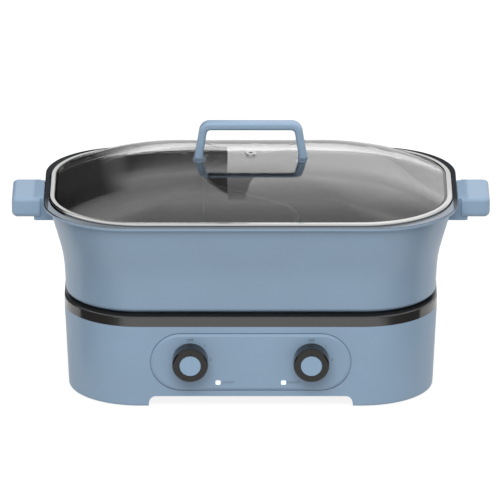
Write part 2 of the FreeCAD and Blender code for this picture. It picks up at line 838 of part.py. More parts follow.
def heating_element():
    """Ring of sheathed element in the plate's groove, with both cold ends turned down."""
    z = hub_bottom_z
    circle = Part.Face(Part.Wire([Part.makeCircle(
        element_tube_radius, Vector(element_ring_radius, 0, z), Vector(0, 1, 0))]))
    circle.rotate(Vector(0, 0, 0), Vector(0, 0, 1), element_gap_angle / 2)
    ring = circle.revolve(Vector(0, 0, 0), Vector(0, 0, 1), 360 - element_gap_angle)
    ends = []
    for side in (-1, 1):
        x, y = element_end(side)
        ends.append(element_elbow(side, 0.0))
        ends.append(rod_z(x, y, z - element_stub_length, z, element_tube_radius))
        ends.append(terminal_tab(x, y, z - element_stub_length))
    return fuse(ring, *ends)


def element_elbow(side, extra):
    """Ball at the bend of one cold end, or with extra room the pocket for it."""
    x, y = element_end(side)
    return Part.makeSphere(element_tube_radius + element_elbow_extra + extra, Vector(x, y, hub_bottom_z))


def element_end(side):
    """Plan point of one cold end, in the plate's own frame."""
    angle = math.radians(side * element_gap_angle / 2)
    return element_ring_radius * math.cos(angle), element_ring_radius * math.sin(angle)


def thermal_cutout():
    """Snap-disc cut-out under the plate, held by two ears."""
    top = hub_bottom_z
    body = rod_z(0, 0, top - cutout_height, top, cutout_radius)
    ear_plan = (cutout_ear_x + cutout_ear_width / 2, cutout_ear_width / 2, cutout_ear_width / 2)
    ears = slab(ear_plan, top - cutout_ear_thickness, top)
    tabs = [terminal_tab(side * cutout_radius / 2, 0, top - cutout_height) for side in (-1, 1)]
    holes = [rod_z(side * cutout_ear_x, 0, top - cutout_ear_thickness, top,
                   small_screw_radius + screw_hole_clearance) for side in (-1, 1)]
    return cut(fuse(body, ears, *tabs), *holes)


def cutout_screws():
    screw = small_screw(cutout_screw_length + cutout_ear_thickness - slip_clearance)
    z = hub_bottom_z - cutout_ear_thickness
    return group(moved(screw, side * plate_centre_x + ear * cutout_ear_x, 0, z)
                 for side in (-1, 1) for ear in (-1, 1))


# ---------------------------------------------------------------- control panel
def lens_prism(x, y0, y1, extra):
    plan = (lens_width / 2 + extra, lens_height / 2 + extra, lens_corner_radius + extra)
    return front_slab(plan, y0, y1, x, -lens_drop)


def control_fascia():
    bevel_y = fascia_bevel_depth - fascia_raise
    plate = front_slab(fascia_plan, bevel_y, fascia_recess, 0, -fascia_drop)
    bevel = loft([(fascia_plan, 0), (inset(fascia_plan, fascia_bevel_width), fascia_bevel_depth)], True)
    bevel.Placement = Placement(Vector(0, bevel_y, -fascia_drop), Rotation(Vector(1, 0, 0), 90))
    holes = []
    for side in (-1, 1):
        holes.append(rod_y(side * knob_x, 0, -2 * fascia_raise, base_wall, fascia_shaft_hole_radius))
        holes.append(lens_prism(side * lens_x, -2 * fascia_raise, base_wall, lens_clearance))
    return on_front(cut(fuse(plate, bevel), *holes))


def indicator_lens(side):
    stem = lens_prism(side * lens_x, -fascia_raise - lens_raise, base_wall, 0)
    stem = round_edges(stem, lens_rounding, at_depth(-fascia_raise - lens_raise))
    flange = lens_prism(side * lens_x, base_wall, base_wall + lens_flange_thickness, lens_flange)
    return on_front(fuse(stem, flange))


def indicator_lamp(side):
    x = side * lens_x
    tip_y = base_wall + lens_flange_thickness + slip_clearance
    bulb = rod_y(x, -lens_drop, tip_y, bracket_y1, lamp_radius)
    flange = rod_y(x, -lens_drop, bracket_y1, bracket_y1 + lamp_flange_thickness, lamp_flange_radius)
    pin_y = bracket_y1 + lamp_flange_thickness
    pins = [rod_y(x + pin * lamp_pin_spacing / 2, -lens_drop, pin_y, pin_y + lamp_pin_length, lamp_pin_radius)
            for pin in (-1, 1)]
    return on_front(fuse(bulb, flange, *pins))


def switch_bracket():
    middle_z = (bracket_above - bracket_below) / 2
    plan = (bracket_half_length, (bracket_above + bracket_below) / 2, bracket_corner_radius)
    plate = front_slab(plan, bracket_y0, bracket_y1, 0, middle_z)
    holes = []
    for side in (-1, 1):
        holes.append(rod_y(side * knob_x, 0, bracket_y0, bracket_y1, bush_radius + bush_hole_clearance))
        holes.append(rod_y(side * lens_x, -lens_drop, bracket_y0, bracket_y1,
                           lamp_radius + screw_hole_clearance))
    for x, z in bracket_boss_points():
        holes.append(rod_y(x, z, bracket_y0, bracket_y1, small_screw_radius + screw_hole_clearance))
    return on_front(cut(plate, *holes))


def switch_bracket_screws():
    screw = driven_outwards(small_screw(bracket_screw_length))
    return group(on_front(moved(screw, x, bracket_y1, z)) for x, z in bracket_boss_points())


def rotary_switch(side):
    x = side * knob_x
    plan = (switch_width / 2, switch_height / 2, switch_rounding)
    body = front_slab(plan, bracket_y1, bracket_y1 + switch_depth, x)
    bush = rod_y(x, 0, bracket_y0 - bush_reach, bracket_y1, bush_radius)
    bore = rod_y(x, 0, bracket_y0 - bush_reach, bracket_y1 + shaft_depth_in_switch + slip_clearance,
                 shaft_radius + running_clearance)
    tabs = [switch_tab(x + tab * switch_tab_spacing / 2) for tab in (-1, 1)]
    return on_front(cut(fuse(body, bush, *tabs), bore))


def switch_tab(x):
    y = bracket_y1 + switch_depth
    return box(x - terminal_thickness / 2, x + terminal_thickness / 2,
               y, y + terminal_length, -terminal_width / 2, terminal_width / 2)


def switch_nuts():
    """Hexagon nuts that clamp the switch bushes to the bracket."""
    corner = nut_across_flats / math.sqrt(3)
    nuts = []
    for side in (-1, 1):
        points = [Vector(side * knob_x + corner * math.cos(math.radians(60 * k)), bracket_y0 - nut_thickness,
                         corner * math.sin(math.radians(60 * k))) for k in range(7)]
        hexagon = Part.Face(Part.makePolygon(points)).extrude(Vector(0, nut_thickness, 0))
        bore = rod_y(side * knob_x, 0, bracket_y0 - nut_thickness, bracket_y0, bush_radius + thread_clearance)
        nuts.append(on_front(hexagon.cut(bore)))
    return group(nuts)


# ---------------------------------------------------------------- knobs
knob_back_y = -fascia_raise - knob_gap
knob_front_y = knob_back_y - knob_length
shaft_front_y = knob_front_y + knob_pocket_depth + knob_front_thickness


def shaft_shape(x, extra):
    """D-shaped shaft from the switch to the knob; extra grows it for the knob's bore."""
    y1 = bracket_y1 + shaft_depth_in_switch
    radius = shaft_radius + extra
    rod = rod_y(x, 0, shaft_front_y, y1, radius)
    flat_end = knob_back_y
    flat = box(x - radius, x + radius, shaft_front_y, flat_end,
               shaft_radius - shaft_flat + extra, radius + overcut)
    return rod.cut(flat)


def knob_shaft(side):
    return on_front(shaft_shape(side * knob_x, 0.0))


def knob_ring(side):
    """Black knob body: a cup with a hub for the shaft, ribs, and a pocket for the cap."""
    x = side * knob_x
    body = rod_y(x, 0, knob_front_y, knob_back_y, knob_radius)
    body = round_edges(body, knob_front_rounding, at_depth(knob_front_y))
    inner_y = knob_front_y + knob_pocket_depth + knob_front_thickness
    hollow = rod_y(x, 0, inner_y, knob_back_y, knob_radius - knob_skirt_wall)
    hub = rod_y(x, 0, inner_y, knob_back_y - knob_hub_gap, knob_hub_radius)
    reach = knob_radius - knob_skirt_wall
    half = knob_rib_thickness / 2
    ribs = [
        box(x - reach, x + reach, inner_y, knob_back_y - 2 * knob_hub_gap, -half, half),
        box(x - half, x + half, inner_y, knob_back_y - 2 * knob_hub_gap, -reach, reach),
    ]
    pocket = rod_y(x, 0, knob_front_y, knob_front_y + knob_pocket_depth,
                   knob_cap_radius + knob_cap_clearance)
    notch = box(x - pointer_width / 2, x + pointer_width / 2, knob_front_y, knob_front_y + pointer_depth,
                knob_cap_radius + pointer_gap, knob_radius + overcut)
    shell = fuse(body.cut(hollow), hub, *ribs)
    return on_front(cut(shell, pocket, notch, shaft_shape(x, thread_clearance)))


def knob_cap(side):
    x = side * knob_x
    floor_y = knob_front_y + knob_pocket_depth
    disc = rod_y(x, 0, floor_y - knob_cap_thickness, floor_y, knob_cap_radius)
    return on_front(round_edges(disc, knob_cap_rounding, at_depth(floor_y - knob_cap_thickness)))


# ---------------------------------------------------------------- power inlet
inlet_plan = (inlet_half_width, inlet_half_height, inlet_corner_radius)
inlet_flange_plan = (inlet_flange_half_width, inlet_flange_half_height, inlet_flange_corner)
inlet_flange_front = inlet_flange_recess - inlet_flange_thickness
inlet_pilot_depth = inlet_flange_front + inlet_screw_length + slip_clearance


def pin_places():
    return [(-pin_x, -line_pin_drop), (pin_x, -line_pin_drop), (0.0, earth_pin_rise)]


def power_inlet():
    flange = front_slab(inlet_flange_plan, inlet_flange_front, inlet_flange_recess)
    flange = round_edges(flange, inlet_flange_rounding, at_depth(inlet_flange_front))
    body = front_slab(inlet_plan, inlet_flange_recess, inlet_depth)
    cavity = front_slab(inset(inlet_plan, inlet_wall), inlet_flange_front, inlet_depth - inlet_floor)
    holes = [rod_y(side * inlet_screw_x, 0, inlet_flange_front, inlet_flange_recess,
                   small_screw_radius + screw_hole_clearance) for side in (-1, 1)]
    for x, z in pin_places():
        holes.append(box(x - pin_thickness / 2, x + pin_thickness / 2, 0, inlet_depth,
                         z - pin_width / 2, z + pin_width / 2))
    return on_back(cut(fuse(flange, body), cavity, *holes))


def power_inlet_pins():
    floor_y = inlet_depth - inlet_floor
    return group(on_back(box(x - pin_thickness / 2, x + pin_thickness / 2, floor_y - pin_reach,
                             inlet_depth + pin_tail, z - pin_width / 2, z + pin_width / 2))
                 for x, z in pin_places())


def power_inlet_screws():
    screw = driven_inwards(small_screw(inlet_screw_length))
    return group(on_back(moved(screw, side * inlet_screw_x, inlet_flange_front, 0)) for side in (-1, 1))


# ---------------------------------------------------------------- terminal block and leads
block_foot_x = block_half_length + small_head_radius + slip_clearance
block_foot_top_z = cover_top_z + block_foot_height
block_top_z = cover_top_z + block_height


def way_x(way):
    return (way - (block_ways - 1) / 2) * block_pitch


def terminal_block():
    body = box(-block_half_length, block_half_length, block_y - block_half_width, block_y + block_half_width,
               cover_top_z, block_top_z)
    body = round_edges(body, block_rounding, at_height(block_top_z))
    foot_plan = (block_foot_x + block_foot_radius, block_foot_radius, block_foot_radius)
    feet = moved(slab(foot_plan, cover_top_z, block_foot_top_z), 0, block_y, 0)
    holes = [rod_z(side * block_foot_x, block_y, cover_top_z, block_foot_top_z,
                   small_screw_radius + screw_hole_clearance) for side in (-1, 1)]
    for way in range(block_ways):
        holes.append(rod_z(way_x(way), block_y, block_top_z - block_screw_depth, block_top_z,
                           block_screw_radius + thread_clearance))
    return cut(fuse(body, feet), *holes)


def terminal_screws():
    head = rod_z(0, 0, -block_screw_depth, -block_screw_sink, block_screw_radius)
    slot = box(-block_screw_radius, block_screw_radius, -block_slot_width / 2, block_slot_width / 2,
               -block_screw_sink - block_slot_depth, 0)
    screw = head.cut(slot)
    fixing = flipped(small_screw(block_foot_height + cover_thickness))
    pieces = [moved(screw, way_x(way), block_y, block_top_z) for way in range(block_ways)]
    pieces += [moved(fixing, side * block_foot_x, block_y, block_foot_top_z) for side in (-1, 1)]
    return group(pieces)


def front_point(x, y, z):
    """A point of the control panel's own frame, in the part's frame."""
    turn = Rotation(Vector(1, 0, 0), face_angle)
    return Vector(0, -face_y(knob_z), knob_z) + turn.multVec(Vector(x, y, z))


def back_point(x, y, z):
    turn = Rotation(Vector(1, 0, 0), face_angle)
    point = Vector(0, -face_y(inlet_z), inlet_z) + turn.multVec(Vector(x, y, z))
    return Vector(-point.x, -point.y, point.z)


def supply_leads():
    """Inlet tails to the terminal block: three leads that drop to the block's rear side."""
    rear_y = block_y + block_half_width
    entry_z = cover_top_z + block_height / 2
    leads = []
    for (x, z), way in zip(pin_places(), inlet_ways):
        tail = back_point(x, inlet_depth + pin_tail + lead_end_gap, z)
        bend = Vector(tail.x, tail.y - 2 * lead_bend_radius, tail.z)
        low = Vector(way_x(way), rear_y + 2 * lead_bend_radius, entry_z)
        leads.append(lead([tail, bend, low, Vector(way_x(way), rear_y, entry_z)]))
    return group(leads)


def switch_leads(side):
    """Terminal block to a switch, and the switch to its heating element."""
    front_y = block_y - block_half_width
    entry_z = cover_top_z + block_height / 2
    inner_x = side * (knob_x - switch_tab_spacing / 2)
    outer_x = side * (knob_x + switch_tab_spacing / 2)
    tab_y = bracket_y1 + switch_depth + terminal_length + lead_end_gap
    way = 0 if side < 0 else block_ways - 1
    feed_start = Vector(way_x(way), front_y, entry_z)
    feed_end = front_point(inner_x, tab_y, 0)
    feed = lead([
        feed_start,
        Vector(way_x(way), front_y - lead_run, entry_z),
        Vector(inner_x, feed_end.y + lead_run, feed_end.z),
        feed_end,
    ])
    end_x, end_y = element_end(-1)
    plate_x = side * plate_centre_x
    tab_z = hub_bottom_z - element_stub_length - terminal_length - lead_end_gap
    tab = Vector(plate_x - side * end_x, -side * end_y, tab_z)
    load_start = front_point(outer_x, tab_y, 0)
    load = lead([
        load_start,
        Vector(outer_x, load_start.y + lead_run, load_start.z),
        Vector(tab.x, tab.y, load_start.z),
        tab,
    ])
    return group([feed, load])


# ---------------------------------------------------------------- pot
def shell_growth(z):
    """Growth of the shell's half length above the pot's edge: near upright, then leaning out."""
    foot = flare_bend_z - flare_bend_half_height
    upright = lower_draft * (z - pot_edge_z)
    if z <= foot:
        return upright
    full = shell_high_plan[0] - shell_low_plan[0]
    extra_draft = (full - lower_draft * (flange_bottom_z - pot_edge_z)) / (flange_bottom_z - flare_bend_z)
    if z >= flare_bend_z + flare_bend_half_height:
        return upright + extra_draft * (z - flare_bend_z)
    return upright + extra_draft * (z - foot) ** 2 / (4 * flare_bend_half_height)


def shell_plan(z, distance=0.0):
    """Outer plan of the pot's wall at height z, moved inwards by a distance."""
    full = shell_high_plan[0] - shell_low_plan[0]
    return inset(between(shell_low_plan, shell_high_plan, shell_growth(z) / full), distance)


def shell_solid(z0, z1, distance, corner_extra=0.0):
    """Solid inside the pot wall, smooth from z0 to z1."""
    steps = shell_section_count - 1
    heights = [z0 + (z1 - z0) * step / steps for step in range(shell_section_count)]
    return loft([(rounder(shell_plan(z, distance), corner_extra), z) for z in heights], False)


def divider_outline(offset):
    """S-shaped centre line across the pot, moved sideways by an offset, as edges from back to front."""
    reach = flange_half_depth
    inner = divider_inner_radius
    outer = divider_outer_radius
    centre_in = Vector(inner - divider_lobe_x, divider_lobe_y, 0)
    centre_out = Vector(outer - divider_lobe_x, divider_lobe_y, 0)
    span = math.hypot(centre_in.x, centre_in.y)
    towards = math.atan2(centre_in.y, centre_in.x)
    tangent = towards + math.asin(inner / span)
    length = math.sqrt(span ** 2 - inner ** 2)
    join = Vector(length * math.cos(tangent), length * math.sin(tangent), 0)
    normal = (join - centre_in).normalize()
    rise = reach - divider_lobe_y
    top_angle = math.pi - math.asin(rise / outer)
    inner_r = inner + offset
    outer_r = outer + offset
    join_angle = math.atan2(normal.y, normal.x) % (2 * math.pi)

    def half(sign, r_in, r_out):
        def point(centre, radius, angle):
            return Vector(sign * (centre.x + radius * math.cos(angle)),
                          sign * (centre.y + radius * math.sin(angle)), 0)
        start = point(centre_out, r_out, top_angle)
        lobe = point(centre_out, r_out, math.pi)
        end = point(centre_in, r_in, join_angle)
        first = Part.Arc(start, point(centre_out, r_out, (top_angle + math.pi) / 2), lobe).toShape()
        second = Part.Arc(lobe, point(centre_in, r_in, (math.pi + join_angle) / 2), end).toShape()
        return start, end, [first, second]

    start, end, edges = half(1, inner_r, outer_r)
    other_start, other_end, other_edges = half(-1, inner - offset, outer - offset)
    middle = Part.LineSegment(end, other_end).toShape()
    return start, other_start, edges + [middle] + other_edges[::-1]


def divider(cavity):
    """Upright S-shaped wall that splits the pot into two basins."""
    half = divider_thickness / 2
    start_a, end_a, edges_a = divider_outline(half)
    start_b, end_b, edges_b = divider_outline(-half)
    caps = [Part.LineSegment(end_a, end_b).toShape(), Part.LineSegment(start_a, start_b).toShape()]
    ordered = Part.__sortEdges__(edges_a + edges_b + caps)
    top_z = rim_z - divider_drop
    wall = Part.Face(Part.Wire(ordered))
    wall.translate(Vector(0, 0, plate_top_z))
    wall = wall.extrude(Vector(0, 0, top_z - plate_top_z))
    side_edges = [edge for edge in wall.Edges if at_height(top_z)(edge.BoundBox)
                  and edge.BoundBox.YMax - edge.BoundBox.YMin > divider_thickness]
    wall = wall.makeFillet(divider_rounding, side_edges)
    return wall.common(cavity)


def lug(extra):
    """Cast lug under the flange that a side handle slides over, at +X."""
    end_x = flange_half_length + lug_reach
    return box(shell_plan(lug_bottom_z)[0] - neck_root_depth, end_x + extra,
               -lug_half_width - extra, lug_half_width + extra, lug_bottom_z - extra, lug_top_z + extra)


def handle_screw_x():
    return flange_half_length + lug_reach - handle_screw_inset


def pot_cavity():
    """Space inside the pot up to the lid's seat."""
    cavity = shell_solid(pot_floor_z, ledge_z, pot_wall, cavity_corner_extra)
    return round_edges(cavity, pot_floor_rounding, at_height(pot_floor_z))


def cooking_pot():
    shell = shell_solid(pot_edge_z, flange_bottom_z, 0.0)
    shell = round_edges(shell, pot_bottom_rounding, at_height(pot_edge_z))
    foot = slab(pot_foot_plan, plate_top_z, pot_edge_z + pot_bottom_rounding)
    foot = round_edges(foot, pot_foot_rounding, at_height(plate_top_z))
    flange = slab(flange_plan, flange_bottom_z, rim_z)
    flange = round_edges(flange, flange_edge_rounding,
                         lambda b: at_height(rim_z)(b) or at_height(flange_bottom_z)(b))
    lugs = [lug(0.0), turned_half(lug(0.0))]
    cavity = pot_cavity()
    seat = slab(lid_seat_plan, ledge_z, rim_z + flange_thickness)
    body = fuse(shell, foot, flange, *lugs)
    body = cut(body, cavity, seat, *lug_pilots())
    return fuse(body, divider(cavity))


def lug_pilots():
    pilots = []
    for side in (-1, 1):
        for y in (-handle_screw_y, handle_screw_y):
            pilots.append(rod_z(side * handle_screw_x(), y, lug_bottom_z, lug_bottom_z + handle_screw_grip,
                                handle_screw_radius + thread_clearance))
    return pilots


# ---------------------------------------------------------------- side handles
def side_handle():
    """Moulded handle at +X: a boxy grip on a neck that closes round the lug."""
    grip = box(grip_inner_x, grip_outer_x, -grip_half_width, grip_half_width, grip_bottom_z, grip_top_z)
    grip = round_edges(grip, grip_plan_rounding,
                       lambda b: b.ZLength > 1 and abs(b.XMax - grip_outer_x) < 0.01)
    grip = round_edges(grip, grip_top_rounding,
                       lambda b: at_height(grip_top_z)(b) and b.XMax > grip_inner_x + 0.01)
    grip = round_edges(grip, grip_bottom_rounding,
                       lambda b: at_height(grip_bottom_z)(b) and b.XMax > grip_inner_x + 0.01)
    neck = box(shell_plan(neck_bottom_z)[0] - neck_root_depth, grip_inner_x + grip_plan_rounding,
               -neck_half_width, neck_half_width, neck_bottom_z, rim_z - neck_top_drop)
    neck = round_edges(neck, neck_rounding,
                       lambda b: b.XLength > 1 or (b.XMin > grip_inner_x and b.YLength > 1))
    body = fuse(grip, neck)
    wall = shell_solid(pot_edge_z, flange_bottom_z, -slip_clearance)
    rim = slab(inset(flange_plan, -slip_clearance), flange_bottom_z - slip_clearance, rim_z + neck_top_drop)
    tools = [wall, rim, lug(socket_clearance)]
    for y in (-handle_screw_y, handle_screw_y):
        x = handle_screw_x()
        tools.append(rod_z(x, y, neck_bottom_z, lug_bottom_z, handle_screw_radius + screw_hole_clearance))
        tools.append(rod_z(x, y, neck_bottom_z - overcut, handle_head_seat_z(),
                           handle_head_radius + slip_clearance))
    return cut(body, *tools)


def handle_head_seat_z():
    return grip_bottom_z + handle_head_height + handle_head_sink


def side_handle_screws():
    length = lug_bottom_z - handle_head_seat_z() + handle_screw_grip - slip_clearance
    screw = pan_screw(handle_head_radius, handle_head_height, handle_screw_radius, length)
    return group(moved(screw, side * handle_screw_x(), y, handle_head_seat_z())
                 for side in (-1, 1) for y in (-handle_screw_y, handle_screw_y))


# ---------------------------------------------------------------- lid
def lid_rim_ring():
    """Rolled steel channel round the glass."""
    bottom = ledge_z
    top = ledge_z + ring_height
    block = slab(ring_plan, bottom, top)
    block = round_edges(block, ring_rounding, at_height(top))
    opening = slab(inset(ring_plan, ring_width), bottom, top)
    groove = slab(inset(ring_plan, ring_sheet), bottom + ring_sheet, top - ring_sheet)
    return cut(block, opening, groove)


def dome(plan, base_z, rise):
    """Smooth dome on a plan: the same plan shrinking as it climbs."""
    sections = []
    for step in range(dome_section_count):
        scale = math.cos(math.acos(dome_top_share) * step / (dome_section_count - 1))
        z = base_z + rise * (1 - scale ** dome_exponent)
        sections.append((tuple(size * scale for size in plan), z))
    return loft(sections, False)


def dome_drop(x):
    """How far the outer dome lies below its top at a point on the X axis."""
    return dome_rise * (abs(x) / dome_plan[0]) ** dome_exponent


def outer_dome():
    return dome(dome_plan, glass_edge_top_z, dome_rise)


def inner_dome():
    return dome(inset(dome_plan, glass_thickness), glass_edge_bottom_z, dome_rise)


def lid_glass():
    edge_plan = inset(ring_plan, ring_sheet + glass_edge_clearance)
    edge = slab(edge_plan, glass_edge_bottom_z, glass_edge_top_z)
    # The edge's upper rounding stays inside the ring's own rounded corner.
    edge = round_edges(edge, ring_rounding, at_height(glass_edge_top_z))
    body = fuse(edge, outer_dome())
    holes = [rod_z(side * lid_screw_x(), 0, glass_edge_bottom_z, handle_top_z,
                   lid_screw_radius + screw_hole_clearance) for side in (-1, 1)]
    holes.append(rod_z(0, vent_y, glass_edge_bottom_z, handle_top_z, vent_tube_radius + thread_clearance))
    return cut(body, inner_dome(), *holes)


def lid_screw_x():
    return lid_handle_half_foot - lid_screw_inset


def handle_foot_z():
    """Flat underside of the lid handle's feet, above the washers."""
    return dome_top_z - dome_drop(lid_screw_x()) + washer_thickness


def lid_handle():
    foot_z = handle_foot_z()
    bar = lid_handle_bar
    lean = (lid_handle_half_foot - lid_handle_half_top) / (handle_top_z - foot_z)
    under = handle_top_z - bar
    inner_top = lid_handle_half_top + lean * bar - bar
    inner_foot = lid_handle_half_foot - bar
    outline = [
        (-lid_handle_half_foot, foot_z), (-lid_handle_half_top, handle_top_z),
        (lid_handle_half_top, handle_top_z), (lid_handle_half_foot, foot_z),
        (inner_foot, foot_z), (inner_top, under), (-inner_top, under), (-inner_foot, foot_z),
    ]
    radii = [0, lid_handle_corner_radius, lid_handle_corner_radius, 0, 0,
             lid_handle_inner_radius, lid_handle_inner_radius, 0]
    half = lid_handle_depth / 2
    points = [Vector(x, -half, z) for x, z in outline]
    loop = Part.Face(rounded_path(points, radii, True)).extrude(Vector(0, lid_handle_depth, 0))
    loop = round_edges(loop, lid_handle_edge_rounding,
                       lambda b: b.YLength < 0.01 and abs(abs(b.YMin) - half) < 0.01
                       and not at_height(foot_z)(b))
    pilots = [rod_z(side * lid_screw_x(), 0, foot_z, foot_z + lid_screw_grip,
                    lid_screw_radius + thread_clearance) for side in (-1, 1)]
    return cut(loop, *pilots)


def lid_handle_washers():
    """Silicone pads above and below the glass, each shaped to the dome."""
    foot_z = handle_foot_z()
    above = (upper_washer_half_x, upper_washer_half_y, upper_washer_corner)
    glass_top = outer_dome()
    glass_under = inner_dome()
    pieces = []
    for side in (-1, 1):
        x = side * (lid_handle_half_foot - lid_handle_bar / 2)
        hole = rod_z(side * lid_screw_x(), 0, glass_edge_top_z, handle_top_z,
                     lid_screw_radius + screw_hole_clearance)
        pad = moved(slab(above, foot_z - 2 * washer_thickness, foot_z), x, 0, 0)
        pieces.append(cut(pad, glass_top, hole))
        disc = rod_z(side * lid_screw_x(), 0, washer_bottom_z(), foot_z, washer_radius)
        pieces.append(cut(disc.common(glass_under), hole))
    return group(pieces)


def washer_bottom_z():
    lowest_glass = handle_foot_z() - washer_thickness - glass_thickness
    return lowest_glass - 2 * washer_thickness


def lid_handle_screws():
    length = handle_foot_z() - washer_bottom_z() + lid_screw_grip - slip_clearance
    screw = pan_screw(lid_head_radius, lid_head_height, lid_screw_radius, length)
    return group(moved(screw, side * lid_screw_x(), 0, washer_bottom_z()) for side in (-1, 1))


def steam_vent_eyelet():
    top = dome_top_z + vent_glass_gap
    reach = (vent_y + vent_flange_radius) / (dome_plan[1] - glass_thickness)
    under = dome_top_z - glass_thickness - vent_glass_gap - dome_rise * reach ** dome_exponent
    upper = rod_z(0, vent_y, top, top + vent_flange_thickness, vent_flange_radius)
    upper = round_edges(upper, vent_rounding, at_height(top + vent_flange_thickness))
    lower = rod_z(0, vent_y, under - vent_flange_thickness, under, vent_flange_radius)
    tube = rod_z(0, vent_y, under, top, vent_tube_radius)
    bore = rod_z(0, vent_y, under - vent_flange_thickness, top + vent_flange_thickness, vent_bore_radius)
    return cut(fuse(upper, lower, tube), bore)


# ---------------------------------------------------------------- assembly
def on_side(shape, side):
    """A heating piece made about the origin's axis, moved over or turned to its side."""
    placed = turned_half(shape) if side > 0 else shape
    return moved(placed, side * plate_centre_x, 0, 0)


def build():
    nodes = {
        "base_housing": base_housing(),
        "bottom_cover": bottom_cover(),
        "bottom_cover_screws": bottom_cover_screws(),
        "top_collar": top_collar(),
        "heat_shield_tray": heat_shield_tray(),
        "tray_screws": tray_screws(),
        "cutout_screws": cutout_screws(),
        "control_fascia": control_fascia(),
        "switch_bracket": switch_bracket(),
        "switch_bracket_screws": switch_bracket_screws(),
        "switch_nuts": switch_nuts(),
        "power_inlet": power_inlet(),
        "power_inlet_pins": power_inlet_pins(),
        "power_inlet_screws": power_inlet_screws(),
        "terminal_block": terminal_block(),
        "terminal_screws": terminal_screws(),
        "supply_leads": supply_leads(),
        "cooking_pot": cooking_pot(),
        "side_handle_screws": side_handle_screws(),
        "lid_rim_ring": lid_rim_ring(),
        "lid_glass": lid_glass(),
        "lid_handle": lid_handle(),
        "lid_handle_washers": lid_handle_washers(),
        "lid_handle_screws": lid_handle_screws(),
        "steam_vent_eyelet": steam_vent_eyelet(),
    }
    handle = side_handle()
    nodes["side_handle_right"] = handle
    nodes["side_handle_left"] = turned_half(handle)
    for side, name in ((-1, "left"), (1, "right")):
        nodes["heating_plate_" + name] = on_side(heating_plate(), side)
        nodes["heating_element_" + name] = on_side(heating_element(), side)
        nodes["thermal_cutout_" + name] = on_side(thermal_cutout(), side)
        nodes["indicator_lens_" + name] = indicator_lens(side)
        nodes["indicator_lamp_" + name] = indicator_lamp(side)
        nodes["rotary_switch_" + name] = rotary_switch(side)
        nodes["switch_leads_" + name] = switch_leads(side)
        nodes["knob_shaft_" + name] = knob_shaft(side)
        nodes["knob_ring_" + name] = knob_ring(side)
        nodes["knob_cap_" + name] = knob_cap(side)
        for place, y in (("front", -foot_y), ("rear", foot_y)):
            nodes["rubber_foot_" + place + "_" + name] = rubber_foot(side * foot_x, y)
    return nodes


os.makedirs("parts", exist_ok=True)
for name, shape in sorted(build().items()):
    shape.exportStep("parts/" + name + ".step")
    print(f"{name:26s} solids {len(shape.Solids)}  valid {shape.isValid()}  {shape.Volume / 1000:9.2f} cm3")
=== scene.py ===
import json
import math

import bpy
from mathutils import Matrix, Vector
from mathutils.bvhtree import BVHTree


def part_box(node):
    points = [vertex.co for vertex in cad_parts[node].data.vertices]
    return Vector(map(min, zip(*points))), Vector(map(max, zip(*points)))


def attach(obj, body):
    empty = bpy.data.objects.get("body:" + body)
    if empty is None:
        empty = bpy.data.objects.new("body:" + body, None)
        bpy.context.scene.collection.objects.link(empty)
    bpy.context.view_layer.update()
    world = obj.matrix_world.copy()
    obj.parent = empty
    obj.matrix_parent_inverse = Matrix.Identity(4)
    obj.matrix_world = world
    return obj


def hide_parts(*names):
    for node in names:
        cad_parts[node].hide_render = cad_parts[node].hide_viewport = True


# Electric hot pot: materials, printed marks and studio. Metres, in the frame of the CAD model.
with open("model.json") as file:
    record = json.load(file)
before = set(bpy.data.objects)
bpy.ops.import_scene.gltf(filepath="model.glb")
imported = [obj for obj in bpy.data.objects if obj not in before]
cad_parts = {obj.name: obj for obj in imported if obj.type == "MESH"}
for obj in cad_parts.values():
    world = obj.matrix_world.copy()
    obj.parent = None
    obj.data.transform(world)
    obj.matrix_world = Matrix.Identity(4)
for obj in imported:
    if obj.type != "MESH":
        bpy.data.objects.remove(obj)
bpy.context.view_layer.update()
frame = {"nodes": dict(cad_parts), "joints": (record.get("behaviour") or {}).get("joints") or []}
nodes = frame["nodes"]

# ---------------------------------------------------------------- camera values
camera_distance = 8.0
camera_elevation = math.radians(19.0)
camera_target = Vector((-0.0008, 0.0, 0.1292))
camera_sensor = 36.0          # millimetres
camera_reach = 100.0          # the camera sees no further
view_width = 0.5              # width of the frame at the target

# ---------------------------------------------------------------- colours
blue = (0.258, 0.366, 0.492)
paint_blue = (0.240, 0.338, 0.452)
cap_blue = (0.270, 0.398, 0.540)
coating_dark = (0.012, 0.012, 0.012)
coating_black = (0.015, 0.015, 0.015)
coating_fleck = (0.022, 0.022, 0.022)
rim_grey = (0.19, 0.225, 0.27)
lens_milk = (0.86, 0.91, 0.96)
lens_light = (0.85, 0.93, 1.0)
print_dark = (0.120, 0.160, 0.215)
print_soft = (0.165, 0.225, 0.305)
white = (1.0, 1.0, 1.0)

# ---------------------------------------------------------------- pot and printed marks
probe_lift = 0.0002           # start of a sight line above the face it leaves
rim_reach = 0.0011            # bare metal goes this far down from the rim's top
rim_lean = 0.1                # and only to faces whose normal points up by more than this
basin_points = [Vector(p) for p in ((-0.11, 0.0, 0.150), (0.11, 0.0, 0.150), (0.0, -0.065, 0.150),
                                    (0.0, 0.065, 0.150), (-0.12, 0.0, 0.190), (0.0, 0.0, 0.190),
                                    (0.12, 0.0, 0.190))]

panel_raise = 0.0014          # panel's face in front of the housing's face
print_lift = 0.00004          # printed marks stand this far off the panel
mark_radius = 0.0205          # printed settings stand on this circle round each knob
mark_height = 0.0040
mark_stroke = 0.00008         # thickens the strokes of the printed marks
lens_word_gap = 0.0098        # from an indicator's middle to the middle of its printed word
lens_word_height = 0.0036
settings = (("off", "OFF", 0), ("low", "1", 45), ("high", "2", 90))  # name, mark, degrees from the top

